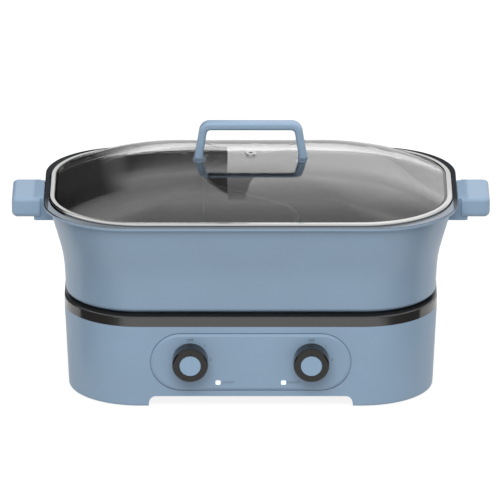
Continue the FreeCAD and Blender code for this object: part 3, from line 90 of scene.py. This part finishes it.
# ---------------------------------------------------------------- floor, world and lamps
floor_half = 6.0
floor_grey = 0.24             # how much of the lamps' light the floor returns
floor_glow = (0.28, 0.87)     # its own light, for the rays that light the object and those that show it
world_light = 0.55            # strength of the world as a light
world_shown = 1.0             # and as the background that is seen
lamps = (                     # name, place, size and power
    ("key", (-0.15, -2.0, 1.9), (1.8, 1.2), 40.0),
    ("top", (0.3, 0.2, 2.2), (2.0, 1.4), 16.0),
)

# ---------------------------------------------------------------- cards that only reflections show
# An outline is a row of points (x, z) of an upright card. A fade is four numbers: while the place goes
# from the first to the second, the card's cover or glow goes from the third to the fourth. A slant adds
# that share of the height to the place across, so that the fade's edge leans.
card_y = 0.132                # the dark and the bright card, just behind the lid
card_split = -0.024           # the dark card ends here and the bright one starts
card_foot = 0.250
card_top = 3.0

dark_outline = ((-0.185, card_foot), (card_split, card_foot), (card_split, card_top), (-0.90, card_top))
dark_low_fade = (0.262, 0.318, 0.91, 0.35)
dark_high_fade = (0.420, 0.650, 1.0, 0.0)
dark_slant = 0.26
dark_side_fade = (-0.12, -0.07, 0.0, 1.0)
painted_shade_slant = -0.08           # painted shade: the darker patch of this card, seen under the lid's handle, stands in for the shade inside the pot there
painted_shade_side_fade = (-0.080, -0.074, 0.0, 1.0)
painted_shade_low_fade = (0.335, 0.350, 0.0, 0.90)
painted_shade_high_fade = (0.600, 0.750, 1.0, 0.0)

bright_end = 0.60
bright_outline = ((card_split, card_foot), (bright_end, card_foot), (bright_end, card_top),
                  (card_split, card_top))
bright_glow_fade = (0.325, 0.350, 1.25, 1.55)
bright_cover_fade = (0.420, 0.950, 1.0, 0.0)
dim_across_fade = (0.20, 0.32, 0.0, 1.0)     # where the bright card is dimmer: at its right end
dim_up_fade = (0.275, 0.330, 0.0, 1.0)       # and above its foot
dim_fade = (0.0, 1.0, 1.0, 0.55)             # and by how much

middle_gap = 0.0005           # the grey card is this far in front of the bright one
middle_glow = 0.66
middle_outline = ((card_split, 0.342), (0.004, 0.342), (-0.0015, 0.450), (-0.0045, 0.600),
                  (-0.006, 0.950), (card_split, 0.950))
middle_fade = (0.600, 0.940, 1.0, 0.0)

far_y = 2.0
far_size = 6.0
far_outline = ((-far_size, 0.0), (0.0, 0.0), (0.0, far_size), (-far_size, far_size))
far_slant = 0.25
far_side_fade = (-0.34, -0.12, 1.0, 0.0)
far_open_fade = (-1.30, -0.36, 0.015, 0.20)  # the share of the background that this card lets through
far_lift_fade = (1.20, 3.20, 0.30, 1.0)      # which grows with the height

above_x = 2.4
above_y = (-0.4, 2.2)
above_z = 1.9
above_glow = 1.55
above_front_fade = (-0.20, 0.30, 0.15, 1.0)
above_back_fade = (0.40, 2.20, 1.0, 0.0)

rim_card_x = (0.2008, 0.2160)
rim_card_y = (-0.118, 0.145)
rim_card_corner = 0.085       # radius of the inner edge at the back corner
rim_card_lift = 0.0012        # from the rim's top up to the card
rim_card_fade = (-0.115, -0.030, 0.0, 0.88)

side_card_left = 0.255        # distances of the side cards from the middle
side_card_right = 0.285
side_card_y = (-0.450, -0.060)
side_card_z = (0.002, 0.160)


# ---------------------------------------------------------------- objects and node trees
def add_object(name, data):
    obj = bpy.data.objects.new(name, data)
    bpy.context.scene.collection.objects.link(obj)
    return obj


def new_material(name):
    material = bpy.data.materials.new(name)
    material.use_nodes = True
    return material


def add_math(tree, operation, *values):
    """A Math node; each value is a number or another node's output."""
    node = tree.nodes.new("ShaderNodeMath")
    node.operation = operation
    for socket, value in zip(node.inputs, values):
        if isinstance(value, float):
            socket.default_value = value
        else:
            tree.links.new(value, socket)
    return node.outputs["Value"]


def add_product(tree, first, second):
    return add_math(tree, "MULTIPLY", first, second)


def add_ramp(tree, value, fade):
    """Goes from the fade's third number to its fourth as the value goes from its first to its second."""
    ramp = tree.nodes.new("ShaderNodeMapRange")
    for name, number in zip(("From Min", "From Max", "To Min", "To Max"), fade):
        ramp.inputs[name].default_value = number
    tree.links.new(value, ramp.inputs["Value"])
    return ramp.outputs["Result"]


def add_mix(tree, share, first, second):
    """Mixes two shaders by a share from 0 to 1."""
    mix = tree.nodes.new("ShaderNodeMixShader")
    tree.links.new(share, mix.inputs["Fac"])
    tree.links.new(first, mix.inputs[1])
    tree.links.new(second, mix.inputs[2])
    return mix.outputs["Shader"]


def set_surface(tree, shader, output="Material Output"):
    tree.links.new(shader, tree.nodes[output].inputs["Surface"])


# ---------------------------------------------------------------- camera
def add_camera():
    data = bpy.data.cameras.new("camera")
    data.sensor_width = camera_sensor
    data.lens = data.sensor_width * camera_distance / view_width
    data.clip_end = camera_reach
    camera = add_object("camera", data)
    back = Vector((0.0, -math.cos(camera_elevation), math.sin(camera_elevation)))
    camera.location = camera_target + back * camera_distance
    camera.rotation_euler = (math.pi / 2 - camera_elevation, 0.0, 0.0)
    bpy.context.scene.camera = camera


# ---------------------------------------------------------------- material helpers
noise_middle = (0.3, 0.7)     # most of a noise's values lie between these


def shader_of(material):
    return material.node_tree.nodes["Principled BSDF"]


def new_finish(name, color, roughness, **inputs):
    """A material with one Principled shader; its other inputs are named with underscores for spaces."""
    material = new_material(name)
    shader = shader_of(material)
    shader.inputs["Base Color"].default_value = (*color, 1.0)
    shader.inputs["Roughness"].default_value = roughness
    for key, value in inputs.items():
        shader.inputs[key.replace("_", " ")].default_value = value
    return material


def add_noise(material, scale, detail=2.0, stretch=(1.0, 1.0, 1.0)):
    """Noise in the piece's own metres; returns its height output."""
    tree = material.node_tree
    place = tree.nodes.new("ShaderNodeTexCoord")
    mapping = tree.nodes.new("ShaderNodeMapping")
    noise = tree.nodes.new("ShaderNodeTexNoise")
    mapping.inputs["Scale"].default_value = stretch
    noise.inputs["Scale"].default_value = scale
    noise.inputs["Detail"].default_value = detail
    tree.links.new(place.outputs["Object"], mapping.inputs["Vector"])
    tree.links.new(mapping.outputs["Vector"], noise.inputs["Vector"])
    return noise.outputs["Fac"]


def add_range(material, value, low, high):
    """The noise's middle stretched to low..high."""
    return add_ramp(material.node_tree, value, (*noise_middle, low, high))


def vary_roughness(material, value, low, high):
    result = add_range(material, value, low, high)
    material.node_tree.links.new(result, shader_of(material).inputs["Roughness"])


def vary_color(material, value, first, second):
    """Mixes two colours by a noise."""
    tree = material.node_tree
    mix = tree.nodes.new("ShaderNodeMix")
    mix.data_type = "RGBA"
    mix.inputs["A"].default_value = (*first, 1.0)
    mix.inputs["B"].default_value = (*second, 1.0)
    tree.links.new(add_range(material, value, 0.0, 1.0), mix.inputs["Factor"])
    tree.links.new(mix.outputs["Result"], shader_of(material).inputs["Base Color"])


def add_bump(material, value, distance, strength):
    tree = material.node_tree
    bump = tree.nodes.new("ShaderNodeBump")
    bump.inputs["Distance"].default_value = distance
    bump.inputs["Strength"].default_value = strength
    tree.links.new(value, bump.inputs["Height"])
    tree.links.new(bump.outputs["Normal"], shader_of(material).inputs["Normal"])


def scaled(color, factor):
    return tuple(channel * factor for channel in color)


# ---------------------------------------------------------------- materials
def moulded_plastic(name, color, roughness):
    """Fine spark-eroded grain with a faint cloudiness."""
    material = new_finish(name, color, roughness)
    clouds = add_noise(material, scale=22.0, detail=3.0)
    vary_color(material, clouds, scaled(color, 0.975), scaled(color, 1.025))
    vary_roughness(material, clouds, roughness - 0.04, roughness + 0.04)
    add_bump(material, add_noise(material, scale=2600.0), distance=0.00003, strength=0.35)
    return material


def enamel(name, color):
    """Satin paint over the casting, with a slight orange peel."""
    material = new_finish(name, color, roughness=0.40, Coat_Weight=0.15, Coat_Roughness=0.25)
    clouds = add_noise(material, scale=18.0, detail=3.0)
    vary_color(material, clouds, scaled(color, 0.98), scaled(color, 1.02))
    vary_roughness(material, clouds, low=0.36, high=0.44)
    add_bump(material, add_noise(material, scale=420.0), distance=0.00004, strength=0.2)
    return material


def coating(name):
    """Dark non-stick coating with fine pale flecks."""
    material = new_finish(name, coating_black, roughness=0.55, Specular_IOR_Level=0.04)
    vary_color(material, add_noise(material, scale=900.0, detail=4.0), coating_dark, coating_fleck)
    vary_roughness(material, add_noise(material, scale=60.0, detail=3.0), low=0.48, high=0.60)
    add_bump(material, add_noise(material, scale=1500.0), distance=0.00003, strength=0.3)
    return material


def polished(name, color, roughness, gloss, metallic=0.0):
    """Polished surface with a soft waviness."""
    material = new_finish(name, color, roughness, Specular_IOR_Level=gloss, Metallic=metallic)
    waves = add_noise(material, scale=70.0, detail=3.0)
    vary_roughness(material, waves, roughness - 0.03, roughness + 0.05)
    add_bump(material, add_noise(material, scale=160.0), distance=0.00003, strength=0.12)
    return material


def drawn_metal(name, color, roughness, stretch):
    """Metal with fine lines drawn along it."""
    material = new_finish(name, color, roughness, Metallic=1.0)
    lines = add_noise(material, scale=40.0, detail=4.0, stretch=stretch)
    vary_color(material, lines, scaled(color, 0.92), scaled(color, 1.05))
    vary_roughness(material, lines, roughness - 0.05, roughness + 0.08)
    add_bump(material, lines, distance=0.00002, strength=0.25)
    return material


def cast_metal(name, color, roughness):
    """Pebbly cast or sintered surface."""
    material = new_finish(name, color, roughness, Metallic=0.9)
    grain = add_noise(material, scale=700.0, detail=5.0)
    vary_color(material, grain, scaled(color, 0.85), scaled(color, 1.1))
    vary_roughness(material, grain, roughness - 0.08, roughness + 0.08)
    add_bump(material, grain, distance=0.00008, strength=0.4)
    return material


def soft_rubber(name, color, roughness):
    """Matt, a little blotched, with a fine grain."""
    material = new_finish(name, color, roughness)
    blotches = add_noise(material, scale=300.0, detail=4.0)
    vary_color(material, blotches, scaled(color, 0.85), scaled(color, 1.15))
    add_bump(material, add_noise(material, scale=1800.0, detail=3.0), distance=0.00004, strength=0.4)
    return material


def clear_glass(name, tint, roughness):
    """Glass whose shadow rays pass, so that the lamps light what it covers."""
    material = new_finish(name, tint, roughness, Transmission_Weight=1.0, IOR=1.52)
    tree = material.node_tree
    add_bump(material, add_noise(material, scale=9.0), distance=0.0002, strength=0.05)
    path = tree.nodes.new("ShaderNodeLightPath")
    clear = tree.nodes.new("ShaderNodeBsdfTransparent")
    clear.inputs["Color"].default_value = (*scaled(tint, 0.92), 1.0)
    glass = shader_of(material).outputs["BSDF"]
    set_surface(tree, add_mix(tree, path.outputs["Is Shadow Ray"], glass, clear.outputs["BSDF"]))
    return material


def lens_plastic(name):
    """Milky lens, faintly lit from behind."""
    material = new_finish(name, lens_milk, roughness=0.3, Emission_Strength=0.35)
    shader_of(material).inputs["Emission Color"].default_value = (*lens_light, 1.0)
    vary_roughness(material, add_noise(material, scale=400.0), low=0.24, high=0.36)
    return material


def ink(name, color):
    """Pad-printed ink, a little uneven."""
    material = new_finish(name, color, roughness=0.5)
    unevenness = add_noise(material, scale=1200.0, detail=3.0)
    vary_color(material, unevenness, scaled(color, 0.94), scaled(color, 1.06))
    return material


around = (0.02, 0.02, 40.0)   # lines that run level round a piece
finishes = {
    "blue_plastic": moulded_plastic("blue_plastic", blue, roughness=0.42),
    "blue_enamel": enamel("blue_enamel", paint_blue),
    "collar_black": polished("collar_black", (0.026, 0.025, 0.024), roughness=0.18, gloss=0.9),
    "cap_blue": moulded_plastic("cap_blue", cap_blue, roughness=0.34),
    "knob_black": polished("knob_black", (0.012, 0.011, 0.010), roughness=0.16, gloss=0.4),
    "steel": drawn_metal("steel", (0.50, 0.50, 0.495), roughness=0.20, stretch=around),
    "ring_steel": polished("ring_steel", (0.56, 0.56, 0.555), roughness=0.13, gloss=0.5, metallic=1.0),
    "cast_aluminium": cast_metal("cast_aluminium", (0.52, 0.53, 0.54), roughness=0.5),
    "element_steel": drawn_metal("element_steel", (0.34, 0.32, 0.30), roughness=0.36, stretch=around),
    "glass": clear_glass("glass", (0.975, 0.98, 0.975), roughness=0.0),
    "rubber": soft_rubber("rubber", (0.022, 0.022, 0.022), roughness=0.75),
    "silicone": soft_rubber("silicone", (0.20, 0.27, 0.36), roughness=0.6),
    "black_plastic": moulded_plastic("black_plastic", (0.03, 0.03, 0.03), roughness=0.48),
    "lens_white": lens_plastic("lens_white"),
    "lamp_glass": clear_glass("lamp_glass", (0.95, 0.80, 0.70), roughness=0.05),
    "brass": drawn_metal("brass", (0.62, 0.46, 0.20), roughness=0.3, stretch=around),
    "block_ceramic": moulded_plastic("block_ceramic", (0.62, 0.60, 0.55), roughness=0.55),
    "lead_insulation": moulded_plastic("lead_insulation", (0.45, 0.44, 0.42), roughness=0.5),
}

# Nodes by the slot that they take their finish from.
slot_nodes = {
    "blue_plastic": ["base_housing", "control_fascia", "lid_handle", "side_handle_left",
                     "side_handle_right"],
    "cap_blue": ["knob_cap_left", "knob_cap_right"],
    "collar_black": ["top_collar"],
    "knob_black": ["knob_ring_left", "knob_ring_right"],
    "ring_steel": ["lid_rim_ring"],
    "steel": ["lid_handle_screws", "side_handle_screws", "heat_shield_tray", "tray_screws",
              "bottom_cover_screws", "switch_bracket", "switch_bracket_screws", "switch_nuts",
              "cutout_screws", "knob_shaft_left", "knob_shaft_right", "terminal_screws",
              "power_inlet_screws", "steam_vent_eyelet", "thermal_cutout_left", "thermal_cutout_right"],
    "cast_aluminium": ["heating_plate_left", "heating_plate_right"],
    "element_steel": ["heating_element_left", "heating_element_right"],
    "glass": ["lid_glass"],
    "rubber": ["rubber_foot_front_left", "rubber_foot_front_right", "rubber_foot_rear_left",
               "rubber_foot_rear_right"],
    "silicone": ["lid_handle_washers"],
    "black_plastic": ["bottom_cover", "power_inlet", "rotary_switch_left", "rotary_switch_right"],
    "lens_white": ["indicator_lens_left", "indicator_lens_right"],
    "lamp_glass": ["indicator_lamp_left", "indicator_lamp_right"],
    "brass": ["power_inlet_pins"],
    "block_ceramic": ["terminal_block"],
    "lead_insulation": ["supply_leads", "switch_leads_left", "switch_leads_right"],
}


def set_finish(obj, *materials):
    obj.data.materials.clear()
    for material in materials:
        obj.data.materials.append(material)


def dress_nodes():
    for slot, names in slot_nodes.items():
        for name in names:
            set_finish(nodes[name], finishes[slot])


# ---------------------------------------------------------------- pot
def faces_a_basin(tree, centre, normal):
    """True if the face looks straight at a point inside one of the two basins."""
    start = centre + normal * probe_lift
    for point in basin_points:
        sight = point - start
        if sight.dot(normal) > 0 and tree.ray_cast(start, sight.normalized(), sight.length)[0] is None:
            return True
    return False


def add_pot():
    """The pot in three finishes: painted outside, coated inside, and bare metal on the rim's top."""
    mesh = nodes["cooking_pot"].data.copy()
    mesh.name = "pot_body"
    pot = add_object("pot_body", mesh)
    painted, coated, bare = range(3)
    bare_metal = polished("rim_metal", rim_grey, roughness=0.13, gloss=0.5, metallic=1.0)
    set_finish(pot, finishes["blue_enamel"], coating("nonstick_coating"), bare_metal)
    tree = BVHTree.FromPolygons([v.co for v in mesh.vertices], [list(p.vertices) for p in mesh.polygons])
    bare_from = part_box("cooking_pot")[1].z - rim_reach
    for polygon in mesh.polygons:
        if polygon.center.z > bare_from and polygon.normal.z > rim_lean:
            polygon.material_index = bare
        elif faces_a_basin(tree, polygon.center, polygon.normal):
            polygon.material_index = coated
        else:
            polygon.material_index = painted
    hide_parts("cooking_pot")
    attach(pot, "pot")


# ---------------------------------------------------------------- printed marks
def panel_frames():
    """For each knob: its side and a matrix whose origin is on the panel's face at the knob's axis, with
    x to the right, y up the panel and z out of it."""
    frames = []
    for joint in frame["joints"]:
        if joint["type"] != "hinge":
            continue
        out = -Vector(joint["axis"])
        across = Vector((1.0, 0.0, 0.0))
        up = out.cross(across)
        place = Matrix((across, up, out)).transposed().to_4x4()
        place.translation = Vector(joint["pos_m"]) + out * (panel_raise + print_lift)
        frames.append((joint["child"].removeprefix("knob_"), place))
    return frames


def add_word(name, text, height, x, y, place, material):
    """A printed number or word, centred on (x, y) of the panel."""
    curve = bpy.data.curves.new(name, "FONT")
    curve.body = text
    curve.size = height
    curve.offset = mark_stroke
    curve.align_x = "CENTER"
    curve.align_y = "CENTER"
    source = add_object(name, curve)
    graph = bpy.context.evaluated_depsgraph_get()
    mesh = bpy.data.meshes.new_from_object(source.evaluated_get(graph))
    bpy.data.objects.remove(source)
    mesh.name = name
    mesh.transform(place @ Matrix.Translation((x, y, 0.0)))
    word = add_object(name, mesh)
    set_finish(word, material)
    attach(word, "base")


def add_prints():
    """Round each knob its settings, clockwise from the top, and beside each indicator a word."""
    dark = ink("ink_dark", print_dark)
    soft = ink("ink_soft", print_soft)
    lens_low, lens_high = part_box("indicator_lens_right")
    lens_middle = (lens_low + lens_high) / 2
    for side, place in panel_frames():
        for name, text, degrees in settings:
            turn = math.radians(degrees)
            x = mark_radius * math.sin(turn)
            y = mark_radius * math.cos(turn)
            add_word(f"setting_{name}_{side}", text, mark_height, x, y, place, dark)
        knob = place.translation
        across = math.copysign(lens_middle.x, knob.x) - knob.x + lens_word_gap
        rise = (lens_middle.z - knob.z) / place.col[1].z
        add_word("word_on_" + side, "ON/OFF", lens_word_height, across, rise, place, soft)


# ---------------------------------------------------------------- floor, world and lamps
def add_stage_face(name, corners, material_name):
    """A flat face of the studio whose material has no shader yet; returns it and its node tree."""
    mesh = bpy.data.meshes.new(name)
    mesh.from_pydata(corners, [], [range(len(corners))])
    face = add_object(name, mesh)
    material = new_material(material_name)
    tree = material.node_tree
    tree.nodes.remove(tree.nodes["Principled BSDF"])
    mesh.materials.append(material)
    return face, tree


def add_seen_share(tree):
    """1 for camera, glossy and transmission rays, and 0 for the rest."""
    path = tree.nodes.new("ShaderNodeLightPath")
    total = path.outputs["Is Camera Ray"]
    for name in ("Is Glossy Ray", "Is Transmission Ray"):
        total = add_math(tree, "MAXIMUM", total, path.outputs[name])
    return total


def add_floor():
    """Pale floor that takes the object's shadow and shows as near white."""
    corners = [(x * floor_half, y * floor_half, 0.0) for x, y in ((-1, -1), (1, -1), (1, 1), (-1, 1))]
    _, tree = add_stage_face("floor", corners, "floor_white")
    diffuse = tree.nodes.new("ShaderNodeBsdfDiffuse")
    diffuse.inputs["Color"].default_value = (*scaled(white, floor_grey), 1.0)
    glow = tree.nodes.new("ShaderNodeEmission")
    strength = add_ramp(tree, add_seen_share(tree), (0.0, 1.0, *floor_glow))
    tree.links.new(strength, glow.inputs["Strength"])
    both = tree.nodes.new("ShaderNodeAddShader")
    tree.links.new(diffuse.outputs["BSDF"], both.inputs[0])
    tree.links.new(glow.outputs["Emission"], both.inputs[1])
    set_surface(tree, both.outputs["Shader"])


def add_world():
    """White background, dimmer as a light than it shows."""
    world = bpy.data.worlds.new("studio")
    bpy.context.scene.world = world
    world.use_nodes = True
    tree = world.node_tree
    lit = tree.nodes["Background"]
    shown = tree.nodes.new("ShaderNodeBackground")
    for background, strength in ((lit, world_light), (shown, world_shown)):
        background.inputs["Color"].default_value = (*white, 1.0)
        background.inputs["Strength"].default_value = strength
    mixed = add_mix(tree, add_seen_share(tree), lit.outputs["Background"], shown.outputs["Background"])
    set_surface(tree, mixed, "World Output")


def add_lamp(name, location, size, power):
    """Soft lamp aimed at the object, whose own shape reflections don't show."""
    data = bpy.data.lights.new(name, "AREA")
    data.shape = "RECTANGLE"
    data.size, data.size_y = size
    data.energy = power
    lamp = add_object(name, data)
    lamp.location = location
    lamp.rotation_euler = (camera_target - Vector(location)).to_track_quat("-Z", "Y").to_euler()
    lamp.visible_glossy = False
    lamp.visible_transmission = False


# ---------------------------------------------------------------- cards that only reflections show
def add_card(name, corners, glow=0.0):
    """A card that only reflections show, black or glowing; returns its node tree, the world position's
    parts and the input that takes its cover."""
    card, tree = add_stage_face(name, corners, name)
    light = tree.nodes.new("ShaderNodeEmission")
    light.inputs["Strength"].default_value = glow
    clear = tree.nodes.new("ShaderNodeBsdfTransparent")
    path = tree.nodes.new("ShaderNodeLightPath")
    place = tree.nodes.new("ShaderNodeNewGeometry")
    split = tree.nodes.new("ShaderNodeSeparateXYZ")
    tree.links.new(place.outputs["Position"], split.inputs["Vector"])
    reflected = tree.nodes.new("ShaderNodeMath")
    reflected.operation = "MULTIPLY"
    reflected.use_clamp = True
    depth, cover = reflected.inputs[:2]
    tree.links.new(path.outputs["Glossy Depth"], depth)
    cover.default_value = 1.0
    share = reflected.outputs["Value"]
    set_surface(tree, add_mix(tree, share, clear.outputs["BSDF"], light.outputs["Emission"]))
    card.visible_camera = False
    card.visible_diffuse = False
    card.visible_shadow = False
    return tree, split.outputs, cover


def upright(outline, y):
    return [(x, y, z) for x, z in outline]


def add_slant(tree, place, slant):
    """The place across, plus a share of the height."""
    return add_math(tree, "MULTIPLY_ADD", place["Z"], slant, place["X"])


def add_dark_card():
    """The left half of the lid's glass shows this one, with a darker patch under the handle: painted
    shade, for the shade inside the pot there.
    """
    tree, place, cover = add_card("card_dark", upright(dark_outline, card_y))
    height = add_product(tree, add_ramp(tree, place["Z"], dark_low_fade),
                         add_ramp(tree, place["Z"], dark_high_fade))
    side = add_ramp(tree, add_slant(tree, place, dark_slant), dark_side_fade)
    # painted shade: a darker patch in the glass under the lid's handle, for the shade inside the pot
    # there
    painted_shade_height = add_product(tree, add_ramp(tree, place["Z"], painted_shade_low_fade),
                               add_ramp(tree, place["Z"], painted_shade_high_fade))
    painted_shade_side = add_ramp(tree, add_slant(tree, place, painted_shade_slant), painted_shade_side_fade)
    plain = add_product(tree, height, side)
    patch = add_product(tree, painted_shade_side, painted_shade_height)
    tree.links.new(add_math(tree, "MAXIMUM", plain, patch), cover)


def add_bright_card():
    """The right half of the lid's glass shows this one."""
    tree, place, cover = add_card("card_bright", upright(bright_outline, card_y))
    dim_share = add_product(tree, add_ramp(tree, place["X"], dim_across_fade),
                            add_ramp(tree, place["Z"], dim_up_fade))
    glow = add_product(tree, add_ramp(tree, place["Z"], bright_glow_fade),
                       add_ramp(tree, dim_share, dim_fade))
    tree.links.new(glow, tree.nodes["Emission"].inputs["Strength"])
    tree.links.new(add_ramp(tree, place["Z"], bright_cover_fade), cover)


def add_middle_card():
    """A grey card between the two, which the glass shows under the handle, right of the dark patch."""
    corners = upright(middle_outline, card_y - middle_gap)
    tree, place, cover = add_card("card_middle", corners, middle_glow)
    tree.links.new(add_ramp(tree, place["Z"], middle_fade), cover)


def add_far_card():
    """Far behind, for the left end of the glass: black, but not quite closed."""
    tree, place, cover = add_card("card_far", upright(far_outline, far_y))
    across = add_slant(tree, place, far_slant)
    open_share = add_product(tree, add_ramp(tree, across, far_open_fade),
                             add_ramp(tree, place["Z"], far_lift_fade))
    closed = add_math(tree, "SUBTRACT", 1.0, open_share)
    tree.links.new(add_product(tree, add_ramp(tree, across, far_side_fade), closed), cover)


def add_overhead_card():
    """Bright, for the front of the glass."""
    front, back = above_y
    corners = [(-above_x, front, above_z), (above_x, front, above_z), (above_x, back, above_z),
               (-above_x, back, above_z)]
    tree, place, cover = add_card("card_above", corners, above_glow)
    tree.links.new(add_product(tree, add_ramp(tree, place["Y"], above_front_fade),
                               add_ramp(tree, place["Y"], above_back_fade)), cover)


def add_rim_cards():
    """Flat and black, just above the two ends and the back corners of the pot's bare rim."""
    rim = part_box("cooking_pot")[1]
    (near_x, out_x), (front_y, back_y) = rim_card_x, rim_card_y
    middle_x = near_x - rim_card_corner
    middle_y = rim.y - (rim.x - near_x) - rim_card_corner
    outline = [(middle_x, back_y), (out_x, back_y), (out_x, front_y), (near_x, front_y)]
    for degrees in range(0, 91, 10):
        turn = math.radians(degrees)
        outline.append((middle_x + rim_card_corner * math.cos(turn),
                        middle_y + rim_card_corner * math.sin(turn)))
    for side, sign in (("left", -1), ("right", 1)):
        corners = [(sign * x, y, rim.z + rim_card_lift) for x, y in outline]
        tree, place, cover = add_card("card_rim_" + side, corners)
        tree.links.new(add_ramp(tree, place["Y"], rim_card_fade), cover)


def add_side_cards():
    """Black, beside the base and in front of it, which the corners of its collar show."""
    foot, top = side_card_z
    for side, x in (("left", -side_card_left), ("right", side_card_right)):
        low = [(x, y, foot) for y in side_card_y]
        high = [(x, y, top) for y in reversed(side_card_y)]
        add_card("card_" + side, low + high)


def add_studio():
    add_floor()
    add_world()
    for lamp in lamps:
        add_lamp(*lamp)
    add_dark_card()
    add_bright_card()
    add_middle_card()
    add_far_card()
    add_overhead_card()
    add_rim_cards()
    add_side_cards()


add_camera()
dress_nodes()
add_pot()
add_prints()
add_studio()

bpy.context.scene.view_settings.view_transform = "Standard"
